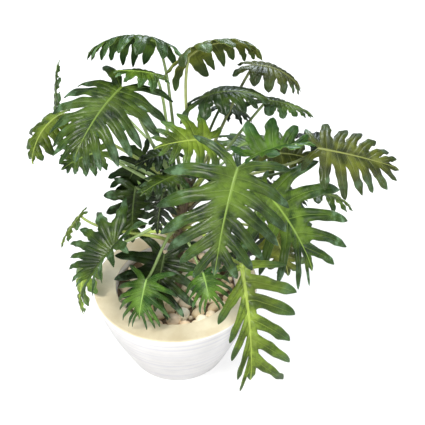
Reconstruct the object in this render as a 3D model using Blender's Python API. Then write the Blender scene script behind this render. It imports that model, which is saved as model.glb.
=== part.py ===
"""A philodendron selloum in its round bowl planter, topped with river pebbles.

Metres, +Z up. The origin is the centre of the pot's flat foot, and +Y is the plant's back.
Angles are in degrees. A heading turns clockwise from +Y when seen from above, so 90 is +X.
"""
import bpy
import numpy as np

# ---- Driving dimensions -------------------------------------------------------------------

GAP = 0.0003                  # clearance between two nodes that touch
CUT_MARGIN = 0.010            # how far a cutting solid runs past what it cuts

POT_RADIUS = 0.200            # widest radius, at the rim
POT_HEIGHT = 0.220
FOOT_RADIUS = 0.130
BAND_WIDTH = 0.054            # flat rim band, from the outer edge to the opening
OPENING = POT_RADIUS - BAND_WIDTH
BOWL_ROUND = 1.3              # 1 gives a cone, more a rounder belly
RIM_EDGE = 0.006              # rounded outer edge of the band
LIP_EDGE = 0.003              # rounded edge of the opening
POT_WALL = 0.014
POT_FLOOR = 0.016
CAVITY_HEIGHTS = (POT_FLOOR, 0.080, 0.150)   # where the wall of the cavity changes slope
BOWL_RINGS = 6
BOWL_CROWDING = 1.2           # above 1, the rings stand closer at the foot
POT_SIDES = 40
SHARP_EDGE = 38               # edges that turn more than this stay sharp in the shading

SOIL_TOP = 0.176
SOIL_FOOT = 0.100             # height of the flat underside of the trunk, in the soil

BED_THICKNESS = 0.016         # gravel bed that the pebbles are sunk in
PEBBLE_COUNT = 42
PEBBLE_LONG = 0.022           # half length of a pebble
PEBBLE_TOP = 0.212            # just under the rim
PEBBLE_INNER = 0.024          # nearest that a pebble's centre comes to the trunk's axis
PEBBLE_ROOM = 1.12            # room kept from the pot to a centre, in pebble half lengths
PEBBLE_SIZES = (0.84, 1.0)    # range of lengths, and below of widths and thicknesses against them
PEBBLE_WIDTHS = (0.72, 0.90)
PEBBLE_HEIGHTS = (0.60, 0.68)
PEBBLE_TILT = 14
PEBBLE_SINK = 0.005           # the deepest pebble's top, below the highest one's
PEBBLE_LEVELS = (-15, 38)     # latitudes of a pebble's two rings of vertices
GOLDEN_ANGLE = 137.5          # turn from one pebble to the next, as in a sunflower's head
PEBBLE_SIDES = 6
PEBBLE_SEED = 7

TRUNK_RADIUS = 0.0145
TRUNK_SIDES = 12
TRUNK_TOP = 0.505
TRUNK_LEAN = (0.032, 0.004)   # how far the top stands from the foot, in X and Y
TRUNK_TAPER = 0.25            # share of its radius that it has lost TAPER_LENGTH above the scars
TAPER_LENGTH = 0.2
LEAN_GROWTH = 1.3             # above 1, the lean grows with height
TRUNK_STEPS = 7               # rings of vertices above the scars
TRUNK_CAP = 0.008             # height of the blunt end, and its radius against the trunk's
TRUNK_CAP_SHARE = 0.55
TRUNK_HOLE = TRUNK_RADIUS + GAP / np.cos(np.pi / TRUNK_SIDES)
SCAR_FOOT = PEBBLE_TOP + 0.004
SCAR_TOP = 0.295              # old leaf scars ring the trunk up to here, below the stalks
SCAR_RELIEF = 0.0022          # how far they stand proud
SCAR_SPACING = 0.024

LEAF_TINTS = {                # linear colours
    "green": (0.100, 0.180, 0.040),
    "golden": (0.240, 0.320, 0.060),
    "fresh": (0.120, 0.300, 0.050),
    "deep": (0.035, 0.075, 0.020),
    "olive": (0.105, 0.135, 0.025),
}
BLADE = 0.0010                # thickness of a leaf
RIB_ABOVE = 0.0006            # how far the midrib stands above the blade
RIB_BELOW = 0.0014
PETIOLE_SIDES = 5
PETIOLE_ROOT = 0.0046         # radius where the stalk leaves the trunk
PETIOLE_NECK = 0.0030         # radius where it meets the blade
PETIOLE_TIP = 0.0014
PETIOLE_STEPS = 6
SOCKET = 0.005                # first, level stretch of a stalk, square to the trunk
STALK_RISE = 1.2              # how steeply a stalk leaves the trunk, up against out
STALK_LEAVE = 0.35            # lengths of the curve's two handles, in shares of its span
STALK_ARRIVE = 0.30
STALK_FOLLOW = 0.35           # how much a stalk turns into its midrib's direction as it arrives
NECK_SINK = 0.0016            # depth of the stalk's centre under the blade, at the blade's start
TIP_SINK = 0.0012             # and at the stalk's end, TIP_ALONG up the midrib
TIP_ALONG = 0.12

# How lobes are spread along a midrib of length 1.
ROOT_SPREAD = 0.74            # the last lobe's root, and how the roots crowd towards the stalk
ROOT_CROWDING = 1.15
ROOT_STAGGER = 0.02           # how far the two sides' roots are out of step
ANGLE_EASE = 0.6              # below 1, lobe angles change fastest beside the stalk
LONGEST_AT = 0.3              # which share of the lobes, from the stalk, is the longest
LONGEST = 0.53
STUNTED = 0.35                # length of a stunted lobe, against what it would have been
ANGLE_JITTER = 4
LENGTH_JITTER = 0.07
DROOP_JITTER = (0.7, 1.3)
HEART_TURN = 20               # how much further back than the first lobe the heart's notch points
NOTCH_LIMIT = 172             # and the furthest back that it may, so that the two sides stay apart
HEART_DEPTH = 0.8
LAST_SINUS = 0.055            # from the terminal lobe's root to the slit beside it
LAST_SINUS_TURN = 0.6         # and that slit's direction, against the last lobe's angle
WEB_MARGIN = 1.02             # a free lobe starts just past the end of its web
BELLY_SHARE = 0.56            # half width of a lobe's belly, against the lobe's width
WAIST_SHARE = 0.676           # and of its waist at the slit
TIP_SHARPNESS = 0.8           # above 1, a lobe's outline runs to a point
DROOP_DEPTH = 0.6             # how deep a lobe's tip hangs, against its droop and length
LOBE_MIDDLE = 0.55            # where along a lobe its one pair of edge vertices stands
TERMINAL_MIDDLE = 0.45

# How a blade is cut. lobes: per side. web: share of a lobe that stays joined to the rib.
# fill: how much of its room a lobe takes. belly: where along it a lobe is widest.
# girth: lobe length against the midrib. first, last: lobe angles from the midrib.
# curl: how much a lobe sweeps towards the leaf's tip. blunt: higher is rounder.
CUTS = {
    "broad": dict(lobes=8, web=0.32, fill=0.78, belly=0.45, girth=1.00,
                  first=150, last=40, curl=14, blunt=2.6),
    "open": dict(lobes=7, web=0.26, fill=0.74, belly=0.50, girth=1.05,
                 first=145, last=38, curl=16, blunt=2.4),
    "jagged": dict(lobes=6, web=0.46, fill=0.66, belly=0.25, girth=1.10,
                   first=150, last=35, curl=22, blunt=1.5),
    "young": dict(lobes=5, web=0.38, fill=0.70, belly=0.40, girth=1.05,
                  first=140, last=40, curl=18, blunt=2.2),
}
TERMINAL = dict(root=0.80, length=0.22, width=0.115, belly=0.35, blunt=2.0)


def leaf(name, base, heading, pitch, roll, bend, length, cut, root, **more):
    """One leaf: where its blade starts, how it points, and the height of its root on the trunk.

    pitch is the blade's rise at its base, bend how far it droops to its tip, roll its turn about
    the midrib. fold lifts both halves from the rib, cup curves them down, and sway pushes the
    middle of the stalk to its right, seen from the trunk. lift is how far the stalk comes to the
    blade from below, and tint names its colour. heart is how much longer the first lobes are than
    the longest, and taper how much shorter the last ones. skew sweeps the right lobes more towards
    the tip than the left ones, and stunted is the side whose first lobe stayed small, 1 for the
    right and -1 for the left.
    """
    row = dict(CUTS[cut], name=name, base=np.array(base), heading=heading, pitch=pitch, roll=roll,
               bend=bend, length=length, root=root, fold=0, cup=10, droop=0.25, twist=12,
               sway=0.0, lift=0.5, tint="green", heart=-0.13, taper=0.25, skew=0, stunted=0)
    row.update(more)
    return row


LEAVES = [
    # the crown, from its left side over the top to the right
    leaf("leaf_01", (-0.090, 0.020, 0.720), -150, -10, -12, 35, 0.185, "broad", 0.497,
         girth=1.30, first=130, last=35, web=0.24, cup=18, droop=0.30, heart=-0.05),
    leaf("leaf_02", (-0.245, 0.060, 0.625), 20, 75, -50, 10, 0.125, "open", 0.469,
         lobes=5, girth=0.7, cup=0),
    leaf("leaf_03", (-0.215, 0.020, 0.662), -145, 5, -20, 80, 0.130, "open", 0.483,
         lobes=5, fold=-30, cup=20, tint="golden"),
    leaf("leaf_04", (-0.022, 0.110, 0.780), -100, 25, 32, 65, 0.155, "broad", 0.505,
         lobes=7, girth=1.10, first=145, last=25, web=0.36, cup=50, droop=0.35, heart=-0.14),
    leaf("leaf_05", (0.042, 0.060, 0.768), 85, 40, -40, 85, 0.165, "broad", 0.493,
         lobes=7, girth=0.85, first=150, last=30, web=0.40, cup=35, droop=0.35, heart=0.04, tint="olive"),
    leaf("leaf_06", (0.175, 0.100, 0.733), 100, 5, 0, 60, 0.120, "broad", 0.501,
         lobes=6, girth=1.0, first=140, last=30, web=0.45, cup=40, heart=-0.10, tint="olive"),
    leaf("leaf_07", (0.070, 0.050, 0.683), 100, 30, 0, 55, 0.143, "broad", 0.485,
         lobes=6, girth=0.92, first=145, last=30, web=0.40, cup=30, heart=0),
    leaf("leaf_08", (0.205, 0.080, 0.663), 95, -5, -5, 25, 0.108, "broad", 0.473,
         lobes=6, girth=0.80, first=150, last=30, web=0.45, cup=25, heart=0.20),
    leaf("leaf_09", (0.110, 0.140, 0.620), 75, -15, 5, 30, 0.085, "jagged", 0.465,
         lobes=5, tint="deep"),
    # the bright young leaf and the large ones in front
    leaf("leaf_10", (0.085, -0.045, 0.638), -115, 15, -30, 20, 0.115, "young", 0.491,
         lobes=6, girth=1.15, fill=0.62, fold=10, tint="golden"),
    leaf("leaf_11", (0.134, -0.185, 0.660), -160, -35, -20, 35, 0.195, "broad", 0.473,
         lobes=7, girth=1.42, web=0.20, fill=0.70, first=118, last=38, cup=20),
    # the right side
    leaf("leaf_12", (0.195, -0.040, 0.520), 135, -25, 25, 35, 0.205, "open", 0.423,
         lobes=6, girth=1.55, fill=0.54, first=115, last=30, cup=12, skew=14, stunted=-1),
    leaf("leaf_13", (0.315, 0.020, 0.580), 95, -8, 25, 10, 0.180, "open", 0.459,
         girth=1.05, web=0.34, fill=0.68, first=122, cup=15, lift=0.65, heart=-0.18, tint="olive"),
    leaf("leaf_14", (0.170, -0.040, 0.597), 65, 12, 10, 30, 0.150, "open", 0.479,
         lobes=5, girth=0.85, first=135, fold=45, cup=5, tint="fresh"),
    leaf("leaf_15", (0.340, 0.100, 0.555), -70, 10, -5, 20, 0.065, "jagged", 0.433,
         lobes=4, girth=1.2, tint="deep"),
    leaf("leaf_16", (0.215, 0.090, 0.525), 80, 0, 35, 30, 0.120, "broad", 0.445,
         lobes=6, cup=15, tint="olive"),
    leaf("leaf_17", (0.325, 0.080, 0.430), 100, 0, -15, 40, 0.105, "open", 0.407,
         lobes=5, tint="golden"),
    # the long leaf that hangs over the rim, and the low left side
    leaf("leaf_18", (0.145, -0.220, 0.465), 155, -65, 20, 25, 0.290, "open", 0.391,
         lobes=6, girth=0.80, web=0.17, fill=0.56, first=68, last=27, curl=14, cup=12,
         belly=0.60, blunt=2.2, taper=-0.08, skew=14, stunted=1, tint="golden"),
    leaf("leaf_19", (-0.120, -0.080, 0.400), -125, -35, 10, 15, 0.110, "jagged", 0.391,
         lobes=8, girth=1.9, first=145, last=30, fold=35, heart=0),
    leaf("leaf_20", (-0.190, -0.020, 0.315), -100, -60, -20, 30, 0.195, "open", 0.355,
         lobes=5, girth=0.6, last=46, lift=0.3, tint="golden"),
    # the small leaves over the pebbles, and the dark ones behind the stalks
    leaf("leaf_21", (-0.055, -0.120, 0.330), -165, -35, -5, 25, 0.085, "open", 0.380,
         girth=2.3, web=0.28, fill=0.56, first=120, last=25, fold=-10, cup=20, blunt=1.4, tint="fresh"),
    leaf("leaf_22", (0.070, -0.120, 0.350), 165, -15, 15, 25, 0.065, "open", 0.370,
         lobes=6, girth=2.4, web=0.30, fill=0.58, first=120, last=30, fold=-10, cup=20, blunt=1.4,
         tint="fresh"),
    leaf("leaf_23", (-0.020, -0.040, 0.335), -165, -40, -5, 20, 0.130, "broad", 0.305,
         lobes=6, girth=1.65, web=0.36, fill=0.62, first=120, fold=10, cup=5, tint="deep"),
    leaf("leaf_24", (-0.085, 0.045, 0.465), -145, -70, -55, 20, 0.150, "broad", 0.410,
         lobes=6, girth=0.85, cup=15, first=110, tint="deep"),
    leaf("leaf_25", (0.005, -0.020, 0.595), -105, -5, -5, 20, 0.080, "young", 0.481, tint="deep"),
    leaf("leaf_26", (-0.060, 0.070, 0.535), -100, -50, 85, 20, 0.120, "broad", 0.443,
         lobes=6, tint="deep"),
    leaf("leaf_27", (-0.145, 0.000, 0.585), -90, -15, -70, 25, 0.100, "jagged", 0.455,
         lobes=6, girth=0.95),
    leaf("leaf_28", (-0.025, 0.060, 0.730), -105, 20, 0, 20, 0.085, "jagged", 0.493,
         lobes=5, fold=-10),
    leaf("leaf_29", (0.020, -0.050, 0.560), -130, 5, 0, 20, 0.095, "young", 0.460, tint="green"),
    leaf("leaf_30", (0.175, -0.085, 0.400), -110, -40, -105, 30, 0.100, "jagged", 0.407,
         lobes=5, tint="deep"),
    leaf("leaf_31", (0.215, -0.030, 0.410), 110, -55, 75, 25, 0.145, "broad", 0.395,
         lobes=6, girth=1.1, tint="olive"),
    # the back, then one dark leaf in front of the trunk and a small one low on the left
    leaf("leaf_32", (-0.120, 0.180, 0.585), -35, 0, 0, 35, 0.190, "broad", 0.465,
         lobes=7, sway=0.02),
    leaf("leaf_33", (0.150, 0.210, 0.470), 35, -5, 5, 35, 0.190, "open", 0.449,
         lobes=6, girth=1.1),
    leaf("leaf_34", (0.020, 0.190, 0.405), 5, -10, 0, 35, 0.170, "broad", 0.400,
         lobes=6, tint="deep"),
    leaf("leaf_35", (-0.070, 0.200, 0.350), -25, -5, 0, 30, 0.160, "open", 0.412,
         lobes=6, sway=0.02),
    leaf("leaf_36", (0.210, 0.150, 0.385), 60, -10, 5, 30, 0.165, "open", 0.385,
         lobes=6, tint="deep"),
    leaf("leaf_37", (-0.015, -0.035, 0.505), -160, -50, -10, 25, 0.092, "open", 0.435,
         lobes=6, first=100, girth=0.85, tint="deep"),
    leaf("leaf_38", (-0.215, 0.020, 0.402), -120, -40, 20, 20, 0.090, "open", 0.338,
         lobes=4, girth=0.8, sway=-0.04, tint="golden"),
]


# ---- The leaf's formulas ------------------------------------------------------------------

def smooth(share):
    """Ease from 0 to 1, flat at both ends."""
    share = np.clip(share, 0.0, 1.0)
    return share * share * (3.0 - 2.0 * share)


def direction(angle):
    """Flat unit vector at an angle from the midrib, in radians."""
    return np.stack([np.sin(angle), np.cos(angle)], axis=-1)


def lobes_of(row):
    """The lobes of a blade whose midrib runs from (0, 0) to (0, 1), as a list of dictionaries.

    Each lobe has its two corners on the rib, its two sinus points, its root, angle and length.
    The lobes leave the rib more and more steeply, from the first that points back past the stalk
    to the last beside the tip, and those a third of the way up are the longest.
    """
    found = []
    count = row["lobes"]
    share = np.arange(count) / (count - 1)
    number = int(row["name"].split("_")[1])
    even = ROOT_SPREAD * share ** ROOT_CROWDING
    on_rib = np.concatenate([[0.0], (even[1:] + even[:-1]) / 2, [TERMINAL["root"]]])
    for side in (1, -1):
        draw = np.random.default_rng(2 * number + (side > 0))
        root = even + ROOT_STAGGER * side * np.sin(np.pi * share)
        angle = row["first"] + (row["last"] - row["first"]) * share ** ANGLE_EASE
        angle = np.radians(angle + draw.uniform(-ANGLE_JITTER, ANGLE_JITTER, count) - row["skew"] * side)
        early = LONGEST + row["heart"] * (1 - share / LONGEST_AT) ** 2
        late = LONGEST - row["taper"] * ((share - LONGEST_AT) / (1 - LONGEST_AT)) ** 2
        length = np.where(share < LONGEST_AT, early, late) * row["girth"]
        length = length * (1 + draw.uniform(-LENGTH_JITTER, LENGTH_JITTER, count))
        length[0] = length[0] * (STUNTED if row["stunted"] == side else 1.0)
        droop = row["droop"] * draw.uniform(*DROOP_JITTER, count)
        twist = np.radians(row["twist"] * draw.uniform(-1, 1, count))
        notch = direction(np.radians(min(np.degrees(angle[0]) + HEART_TURN, NOTCH_LIMIT)))
        first_sinus = notch * row["web"] * length[0] * HEART_DEPTH
        reach = row["web"] * np.minimum(length[1:], length[:-1])
        between = direction((angle[1:] + angle[:-1]) / 2) * reach[:, None]
        between[:, 1] += on_rib[1:-1]
        last_sinus = direction(angle[-1] * LAST_SINUS_TURN) * LAST_SINUS + (0.0, TERMINAL["root"])
        sinus = np.vstack([first_sinus, between, last_sinus]) * (side, 1)
        room = np.abs(np.cross(sinus[1:] - sinus[:-1], direction(angle * side)))
        for k in range(count):
            found.append(dict(
                side=side, start=(0.0, on_rib[k]), end=(0.0, on_rib[k + 1]),
                sinus=sinus[k], next_sinus=sinus[k + 1],
                root=np.array([0.0, root[k]]), angle=angle[k] * side, length=length[k],
                web=row["web"] * WEB_MARGIN, belly=row["belly"], blunt=row["blunt"],
                width=row["fill"] * room[k],
                curl=np.radians(row["curl"]) * side, droop=droop[k], twist=twist[k]))
    right, left = found[count - 1]["next_sinus"], found[-1]["next_sinus"]
    found.append(dict(
        side=0, sinus=left, next_sinus=right, root=np.array([0.0, TERMINAL["root"]]), angle=0.0,
        length=TERMINAL["length"], web=0.0, width=row["fill"] * TERMINAL["width"], belly=TERMINAL["belly"],
        blunt=TERMINAL["blunt"], curl=0.0, droop=row["droop"], twist=0.0))
    return found


def lobe_centre(lobe, along):
    """Point and heading on a free lobe's centre line, which turns evenly by its curl."""
    free = lobe["length"] * (1 - lobe["web"])
    start = lobe["root"] + direction(lobe["angle"]) * lobe["length"] * lobe["web"]
    turn = lobe["curl"] if abs(lobe["curl"]) > 1e-6 else 1e-6
    heading = lobe["angle"] - turn * along
    across = (np.cos(heading) - np.cos(lobe["angle"])) / turn
    ahead = (np.sin(lobe["angle"]) - np.sin(heading)) / turn
    return start + free * np.stack([across, ahead], axis=-1), heading


def lobe_half_width(lobe, along):
    """Half width of a free lobe: a waist at the sinus, a belly, and a rounded tip."""
    full = BELLY_SHARE * lobe["width"]
    waist = WAIST_SHARE * lobe["width"]
    swell = waist + (full - waist) * smooth(along / lobe["belly"])
    past = np.clip((along - lobe["belly"]) / (1 - lobe["belly"]), 0, 1)
    return np.where(along < lobe["belly"], swell, full * (1 - past ** lobe["blunt"]) ** TIP_SHARPNESS)


def lobe_lift(row, lobe, along, across):
    """How far a free lobe's point leaves the blade's surface: it droops to its tip, and twists."""
    drop = -DROOP_DEPTH * lobe["droop"] * lobe["length"] * along ** 2
    turn = across * lobe_half_width(lobe, np.minimum(along, 0.98)) * np.sin(lobe["twist"] * along)
    return row["length"] * (drop + turn)


def midrib(row, along):
    """Point, direction, right-hand vector and normal on the midrib, an arc that droops by its bend."""
    heading, pitch, bend = np.radians([row["heading"], row["pitch"], max(row["bend"], 0.5)])
    ahead = np.array([np.sin(heading), np.cos(heading), 0.0])
    right = np.array([np.cos(heading), -np.sin(heading), 0.0])
    up = np.array([0.0, 0.0, 1.0])
    past = np.asarray(along, float)[..., None]
    rise = pitch - bend * np.maximum(past, 0)
    point = ahead * (np.sin(pitch) - np.sin(rise)) / bend + up * (np.cos(rise) - np.cos(pitch)) / bend
    point = point + np.minimum(past, 0) * (ahead * np.cos(pitch) + up * np.sin(pitch))
    tangent = ahead * np.cos(rise) + up * np.sin(rise)
    normal = up * np.cos(rise) - ahead * np.sin(rise)
    roll = np.radians(row["roll"])
    return (row["base"] + row["length"] * point, tangent,
            right * np.cos(roll) - normal * np.sin(roll), normal * np.cos(roll) + right * np.sin(roll))


def in_space(row, flat, lift):
    """Points of the flat blade, in shares of its length, carried onto the curved leaf.

    Each half turns up from the rib by the fold and curves down by the cup, as an arc across.
    """
    flat = np.asarray(flat, float)
    point, _, right, normal = midrib(row, flat[..., 1])
    fold = np.radians(row["fold"])
    cup = np.radians(max(row["cup"], 0.5)) / 0.5
    reach, side = np.abs(flat[..., 0]), np.sign(flat[..., 0])
    lean = fold - cup * reach
    out = (np.sin(fold) - np.sin(lean)) / cup
    rise = (np.cos(lean) - np.cos(fold)) / cup
    lift = np.asarray(lift, float)
    out = side * (out * row["length"] - np.sin(lean) * lift)
    rise = rise * row["length"] + np.cos(lean) * lift
    return point + right * out[..., None] + normal * rise[..., None]


def blade_mesh(row):
    """Vertices and triangles of a lobed blade, split alike on both faces and closed by a rim."""
    spots, lifts, ribs, faces = [], [], [], []
    seen = {}

    def spot(flat, lift=0.0, rib=False):
        key = (round(float(flat[0]), 6), round(float(flat[1]), 6))
        if key not in seen:
            seen[key] = len(spots)
            spots.append((float(flat[0]), float(flat[1])))
            lifts.append(float(lift))
            ribs.append(rib)
        return seen[key]

    for lobe in lobes_of(row):
        middle = TERMINAL_MIDDLE if lobe["side"] == 0 else LOBE_MIDDLE
        centre, heading = lobe_centre(lobe, middle)
        arm = direction(heading + np.pi / 2) * lobe_half_width(lobe, middle)
        near = spot(centre - arm, lobe_lift(row, lobe, middle, -1))
        far = spot(centre + arm, lobe_lift(row, lobe, middle, 1))
        tip = spot(lobe_centre(lobe, 1.0)[0], lobe_lift(row, lobe, 1.0, 0))
        low, high = spot(lobe["sinus"]), spot(lobe["next_sinus"])
        if lobe["side"] == 0:
            rib = spot(lobe["root"], rib=True)
            faces += [(rib, high, low), (low, high, far), (low, far, near), (near, far, tip)]
            continue
        if lobe["side"] > 0:
            near, far = far, near
        start, end = spot(lobe["start"], rib=True), spot(lobe["end"], rib=True)
        faces += [(start, low, high), (start, high, end)]
        faces += [(low, near, high), (near, far, high), (near, tip, far)]

    flat = np.array(spots)
    faces = np.array(faces)
    first, second, third = flat[faces[:, 0]], flat[faces[:, 1]], flat[faces[:, 2]]
    area = np.cross(second - first, third - first)
    faces[area < 0] = faces[area < 0][:, ::-1]

    lifts, ribs = np.array(lifts), np.array(ribs)
    top = in_space(row, flat, lifts + BLADE / 2 + RIB_ABOVE * ribs)
    bottom = in_space(row, flat, lifts - BLADE / 2 - RIB_BELOW * ribs)
    edges = {(a, b) for f in faces.tolist() for a, b in ((f[0], f[1]), (f[1], f[2]), (f[2], f[0]))}
    rim = sorted(edge for edge in edges if edge[::-1] not in edges)
    count = len(flat)
    solid = faces.tolist() + (faces[:, ::-1] + count).tolist()
    for a, b in rim:
        solid += [(a, a + count, b + count), (a, b + count, b)]
    return np.vstack([top, bottom]), solid


# ---- The stalks ---------------------------------------------------------------------------

def trunk_axis(height):
    """Centre of the trunk at a height: upright in the soil, then leaning more and more."""
    share = np.clip((np.asarray(height, float) - POT_HEIGHT) / (TRUNK_TOP - POT_HEIGHT), 0, None)
    lean = share ** LEAN_GROWTH
    return np.stack([TRUNK_LEAN[0] * lean, TRUNK_LEAN[1] * lean, np.asarray(height, float)], axis=-1)


def trunk_radius(height):
    """Radius of the trunk, which tapers above the lowest stalk."""
    share = np.clip((np.asarray(height, float) - SCAR_TOP) / TAPER_LENGTH, 0, 1)
    return TRUNK_RADIUS * (1 - TRUNK_TAPER * share)


def stalk_path(row):
    """Centre line of a petiole: out of the trunk, up and over to the blade, then under its rib."""
    foot = trunk_axis(row["root"])
    lean = trunk_axis(row["root"] + 0.001) - foot
    lean = lean / np.linalg.norm(lean)
    out = (row["base"] - foot) * (1, 1, 0)
    out = out - lean * (out @ lean)
    out = out / np.linalg.norm(out)
    start = foot + out * (trunk_radius(row["root"]) + 2 * GAP)
    span = np.linalg.norm(row["base"] - start)
    _, along, _, under = midrib(row, 0.0)
    leave = out + np.array([0, 0, STALK_RISE])
    leave = leave / np.linalg.norm(leave)
    arrive = (row["base"] - start) / span * (1 - row["lift"]) + STALK_FOLLOW * along
    arrive = arrive + np.array([0, 0, row["lift"]])
    arrive = arrive / np.linalg.norm(arrive)
    aside = np.array([out[1], -out[0], 0.0]) * row["sway"]
    socket = start + out * SOCKET
    points = [socket, socket + leave * STALK_LEAVE * span + aside,
              row["base"] - arrive * STALK_ARRIVE * span + aside, row["base"] - under * NECK_SINK]
    step = np.linspace(0, 1, PETIOLE_STEPS)[:, None]
    curve = ((1 - step) ** 3 * points[0] + 3 * (1 - step) ** 2 * step * points[1]
             + 3 * (1 - step) * step ** 2 * points[2] + step ** 3 * points[3])
    sunk, _, _, normal = midrib(row, np.array([TIP_ALONG]))
    curve = np.vstack([start, curve, sunk - normal * TIP_SINK])
    share = np.linspace(0, 1, PETIOLE_STEPS)
    radius = PETIOLE_NECK + (PETIOLE_ROOT - PETIOLE_NECK) * (1 - share) ** 2
    return curve, np.concatenate([[PETIOLE_ROOT], radius, [PETIOLE_TIP]])


def tube_mesh(path, radius, sides):
    """Vertices and faces of a closed tube along a path, with a radius at each of its points."""
    ahead = np.gradient(path, axis=0)
    ahead /= np.linalg.norm(ahead, axis=1)[:, None]
    across = np.cross(ahead[0], (0.0, 0.0, 1.0) if abs(ahead[0][2]) < 0.9 else (1.0, 0.0, 0.0))
    angle = 2 * np.pi * np.arange(sides) / sides
    points = []
    for centre, forward, size in zip(path, ahead, radius):
        across = across - forward * (across @ forward)
        across = across / np.linalg.norm(across)
        other = np.cross(forward, across)
        points.append(centre + size * (np.cos(angle)[:, None] * across + np.sin(angle)[:, None] * other))
    faces = [tuple(range(sides))[::-1]]
    for ring in range(len(path) - 1):
        for k in range(sides):
            a, b = ring * sides + k, ring * sides + (k + 1) % sides
            faces.append((a, b, b + sides, a + sides))
    faces.append(tuple(range((len(path) - 1) * sides, len(path) * sides)))
    return np.vstack(points), faces


# ---- Turned and placed shapes -------------------------------------------------------------

def turned_mesh(outline, sides):
    """Vertices and faces of a solid turned about Z, from an outline of (radius, height) points.

    The outline starts and ends beside the axis, where a flat polygon closes the solid, and its
    outer side runs upwards.
    """
    angle = 2 * np.pi * np.arange(sides) / sides
    points = np.vstack([np.stack([r * np.cos(angle), r * np.sin(angle), np.full(sides, z)], axis=1)
                        for r, z in outline])
    faces = [tuple(range(sides))[::-1]]
    for ring in range(len(outline) - 1):
        for k in range(sides):
            a, b = ring * sides + k, ring * sides + (k + 1) % sides
            faces.append((a, b, b + sides, a + sides))
    faces.append(tuple(range((len(outline) - 1) * sides, len(outline) * sides)))
    return points, faces


def quarter_turn(centre, radius, start, steps):
    """Points of a rounded edge: a quarter circle from an angle in degrees, turning left."""
    angle = np.radians(start + np.linspace(0, 90, steps))
    return [(centre[0] + radius * np.cos(a), centre[1] + radius * np.sin(a)) for a in angle]


def bowl_radius(height):
    """Outer radius of the bowl: it leaves the foot steeply and stands upright at the rim."""
    share = np.clip(height / (POT_HEIGHT - RIM_EDGE), 0, 1)
    return FOOT_RADIUS + (POT_RADIUS - FOOT_RADIUS) * (1 - (1 - share) ** BOWL_ROUND)


def cavity_radius(height):
    """Inner radius of the pot: a straight throat under the rim band, then the bowl less its wall."""
    return min(OPENING, bowl_radius(height) - POT_WALL)


def pot_outline():
    """Foot, bowl, flat rim band and cavity, as (radius, height) points."""
    heights = (POT_HEIGHT - RIM_EDGE) * np.linspace(0, 1, BOWL_RINGS) ** BOWL_CROWDING
    outside = [(bowl_radius(h), h) for h in heights]
    outer_edge = quarter_turn((POT_RADIUS - RIM_EDGE, POT_HEIGHT - RIM_EDGE), RIM_EDGE, 0, 3)[1:]
    inner_edge = quarter_turn((OPENING + LIP_EDGE, POT_HEIGHT - LIP_EDGE), LIP_EDGE, 90, 3)
    inside = [(cavity_radius(h), h) for h in reversed(CAVITY_HEIGHTS)]
    return outside + outer_edge + inner_edge + inside


def pebble_mesh(index, draw):
    """One river pebble of the top dressing: a squashed, turned ball on the sunflower spiral."""
    inner, outer = PEBBLE_INNER, OPENING - PEBBLE_ROOM * PEBBLE_LONG
    radius = np.sqrt(inner ** 2 + (outer ** 2 - inner ** 2) * (index + 0.5) / PEBBLE_COUNT)
    place = np.radians(GOLDEN_ANGLE * index)
    size = PEBBLE_LONG * draw.uniform(*PEBBLE_SIZES)
    size = size * np.array([1.0, draw.uniform(*PEBBLE_WIDTHS), draw.uniform(*PEBBLE_HEIGHTS)])
    yaw, tilt = draw.uniform(0, np.pi), np.radians(draw.uniform(-PEBBLE_TILT, PEBBLE_TILT))
    around = 2 * np.pi * np.arange(PEBBLE_SIDES) / PEBBLE_SIDES
    rings = [np.array([[0.0, 0.0, -1.0]])]
    for level in np.radians(PEBBLE_LEVELS):
        rings.append(np.stack([np.cos(level) * np.cos(around), np.cos(level) * np.sin(around),
                               np.full(PEBBLE_SIDES, np.sin(level))], axis=1))
    rings.append(np.array([[0.0, 0.0, 1.0]]))
    ball = np.vstack(rings) * size
    tipped = np.array([[np.cos(tilt), 0, np.sin(tilt)], [0, 1, 0], [-np.sin(tilt), 0, np.cos(tilt)]])
    turned = np.array([[np.cos(yaw), -np.sin(yaw), 0], [np.sin(yaw), np.cos(yaw), 0], [0, 0, 1]])
    ball = ball @ tipped.T @ turned.T
    centre = np.array([radius * np.cos(place), radius * np.sin(place), PEBBLE_TOP - ball[:, 2].max()])
    centre[2] -= draw.uniform(0, PEBBLE_SINK)
    faces = []
    for k in range(PEBBLE_SIDES):
        n = (k + 1) % PEBBLE_SIDES
        faces.append((0, 1 + n, 1 + k))
        faces.append((1 + k, 1 + n, 1 + PEBBLE_SIDES + n, 1 + PEBBLE_SIDES + k))
        faces.append((1 + PEBBLE_SIDES + k, 1 + PEBBLE_SIDES + n, 1 + 2 * PEBBLE_SIDES))
    return ball + centre, faces


# ---- Objects ------------------------------------------------------------------------------

def material(name, colour, roughness):
    """A plain Principled material."""
    made = bpy.data.materials.new(name)
    made.use_nodes = True
    shader = made.node_tree.nodes["Principled BSDF"]
    shader.inputs["Base Color"].default_value = (*colour, 1.0)
    shader.inputs["Roughness"].default_value = roughness
    shader.inputs["Metallic"].default_value = 0.0
    return made


def solid(name, points, faces, colour, roughness):
    """A mesh object from vertices and faces, with a material of its own."""
    mesh = bpy.data.meshes.new(name)
    mesh.from_pydata([tuple(map(float, p)) for p in points], [], [tuple(map(int, f)) for f in faces])
    mesh.update()
    made = bpy.data.objects.new(name, mesh)
    bpy.context.scene.collection.objects.link(made)
    mesh.materials.append(material(name, colour, roughness))
    return made


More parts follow.
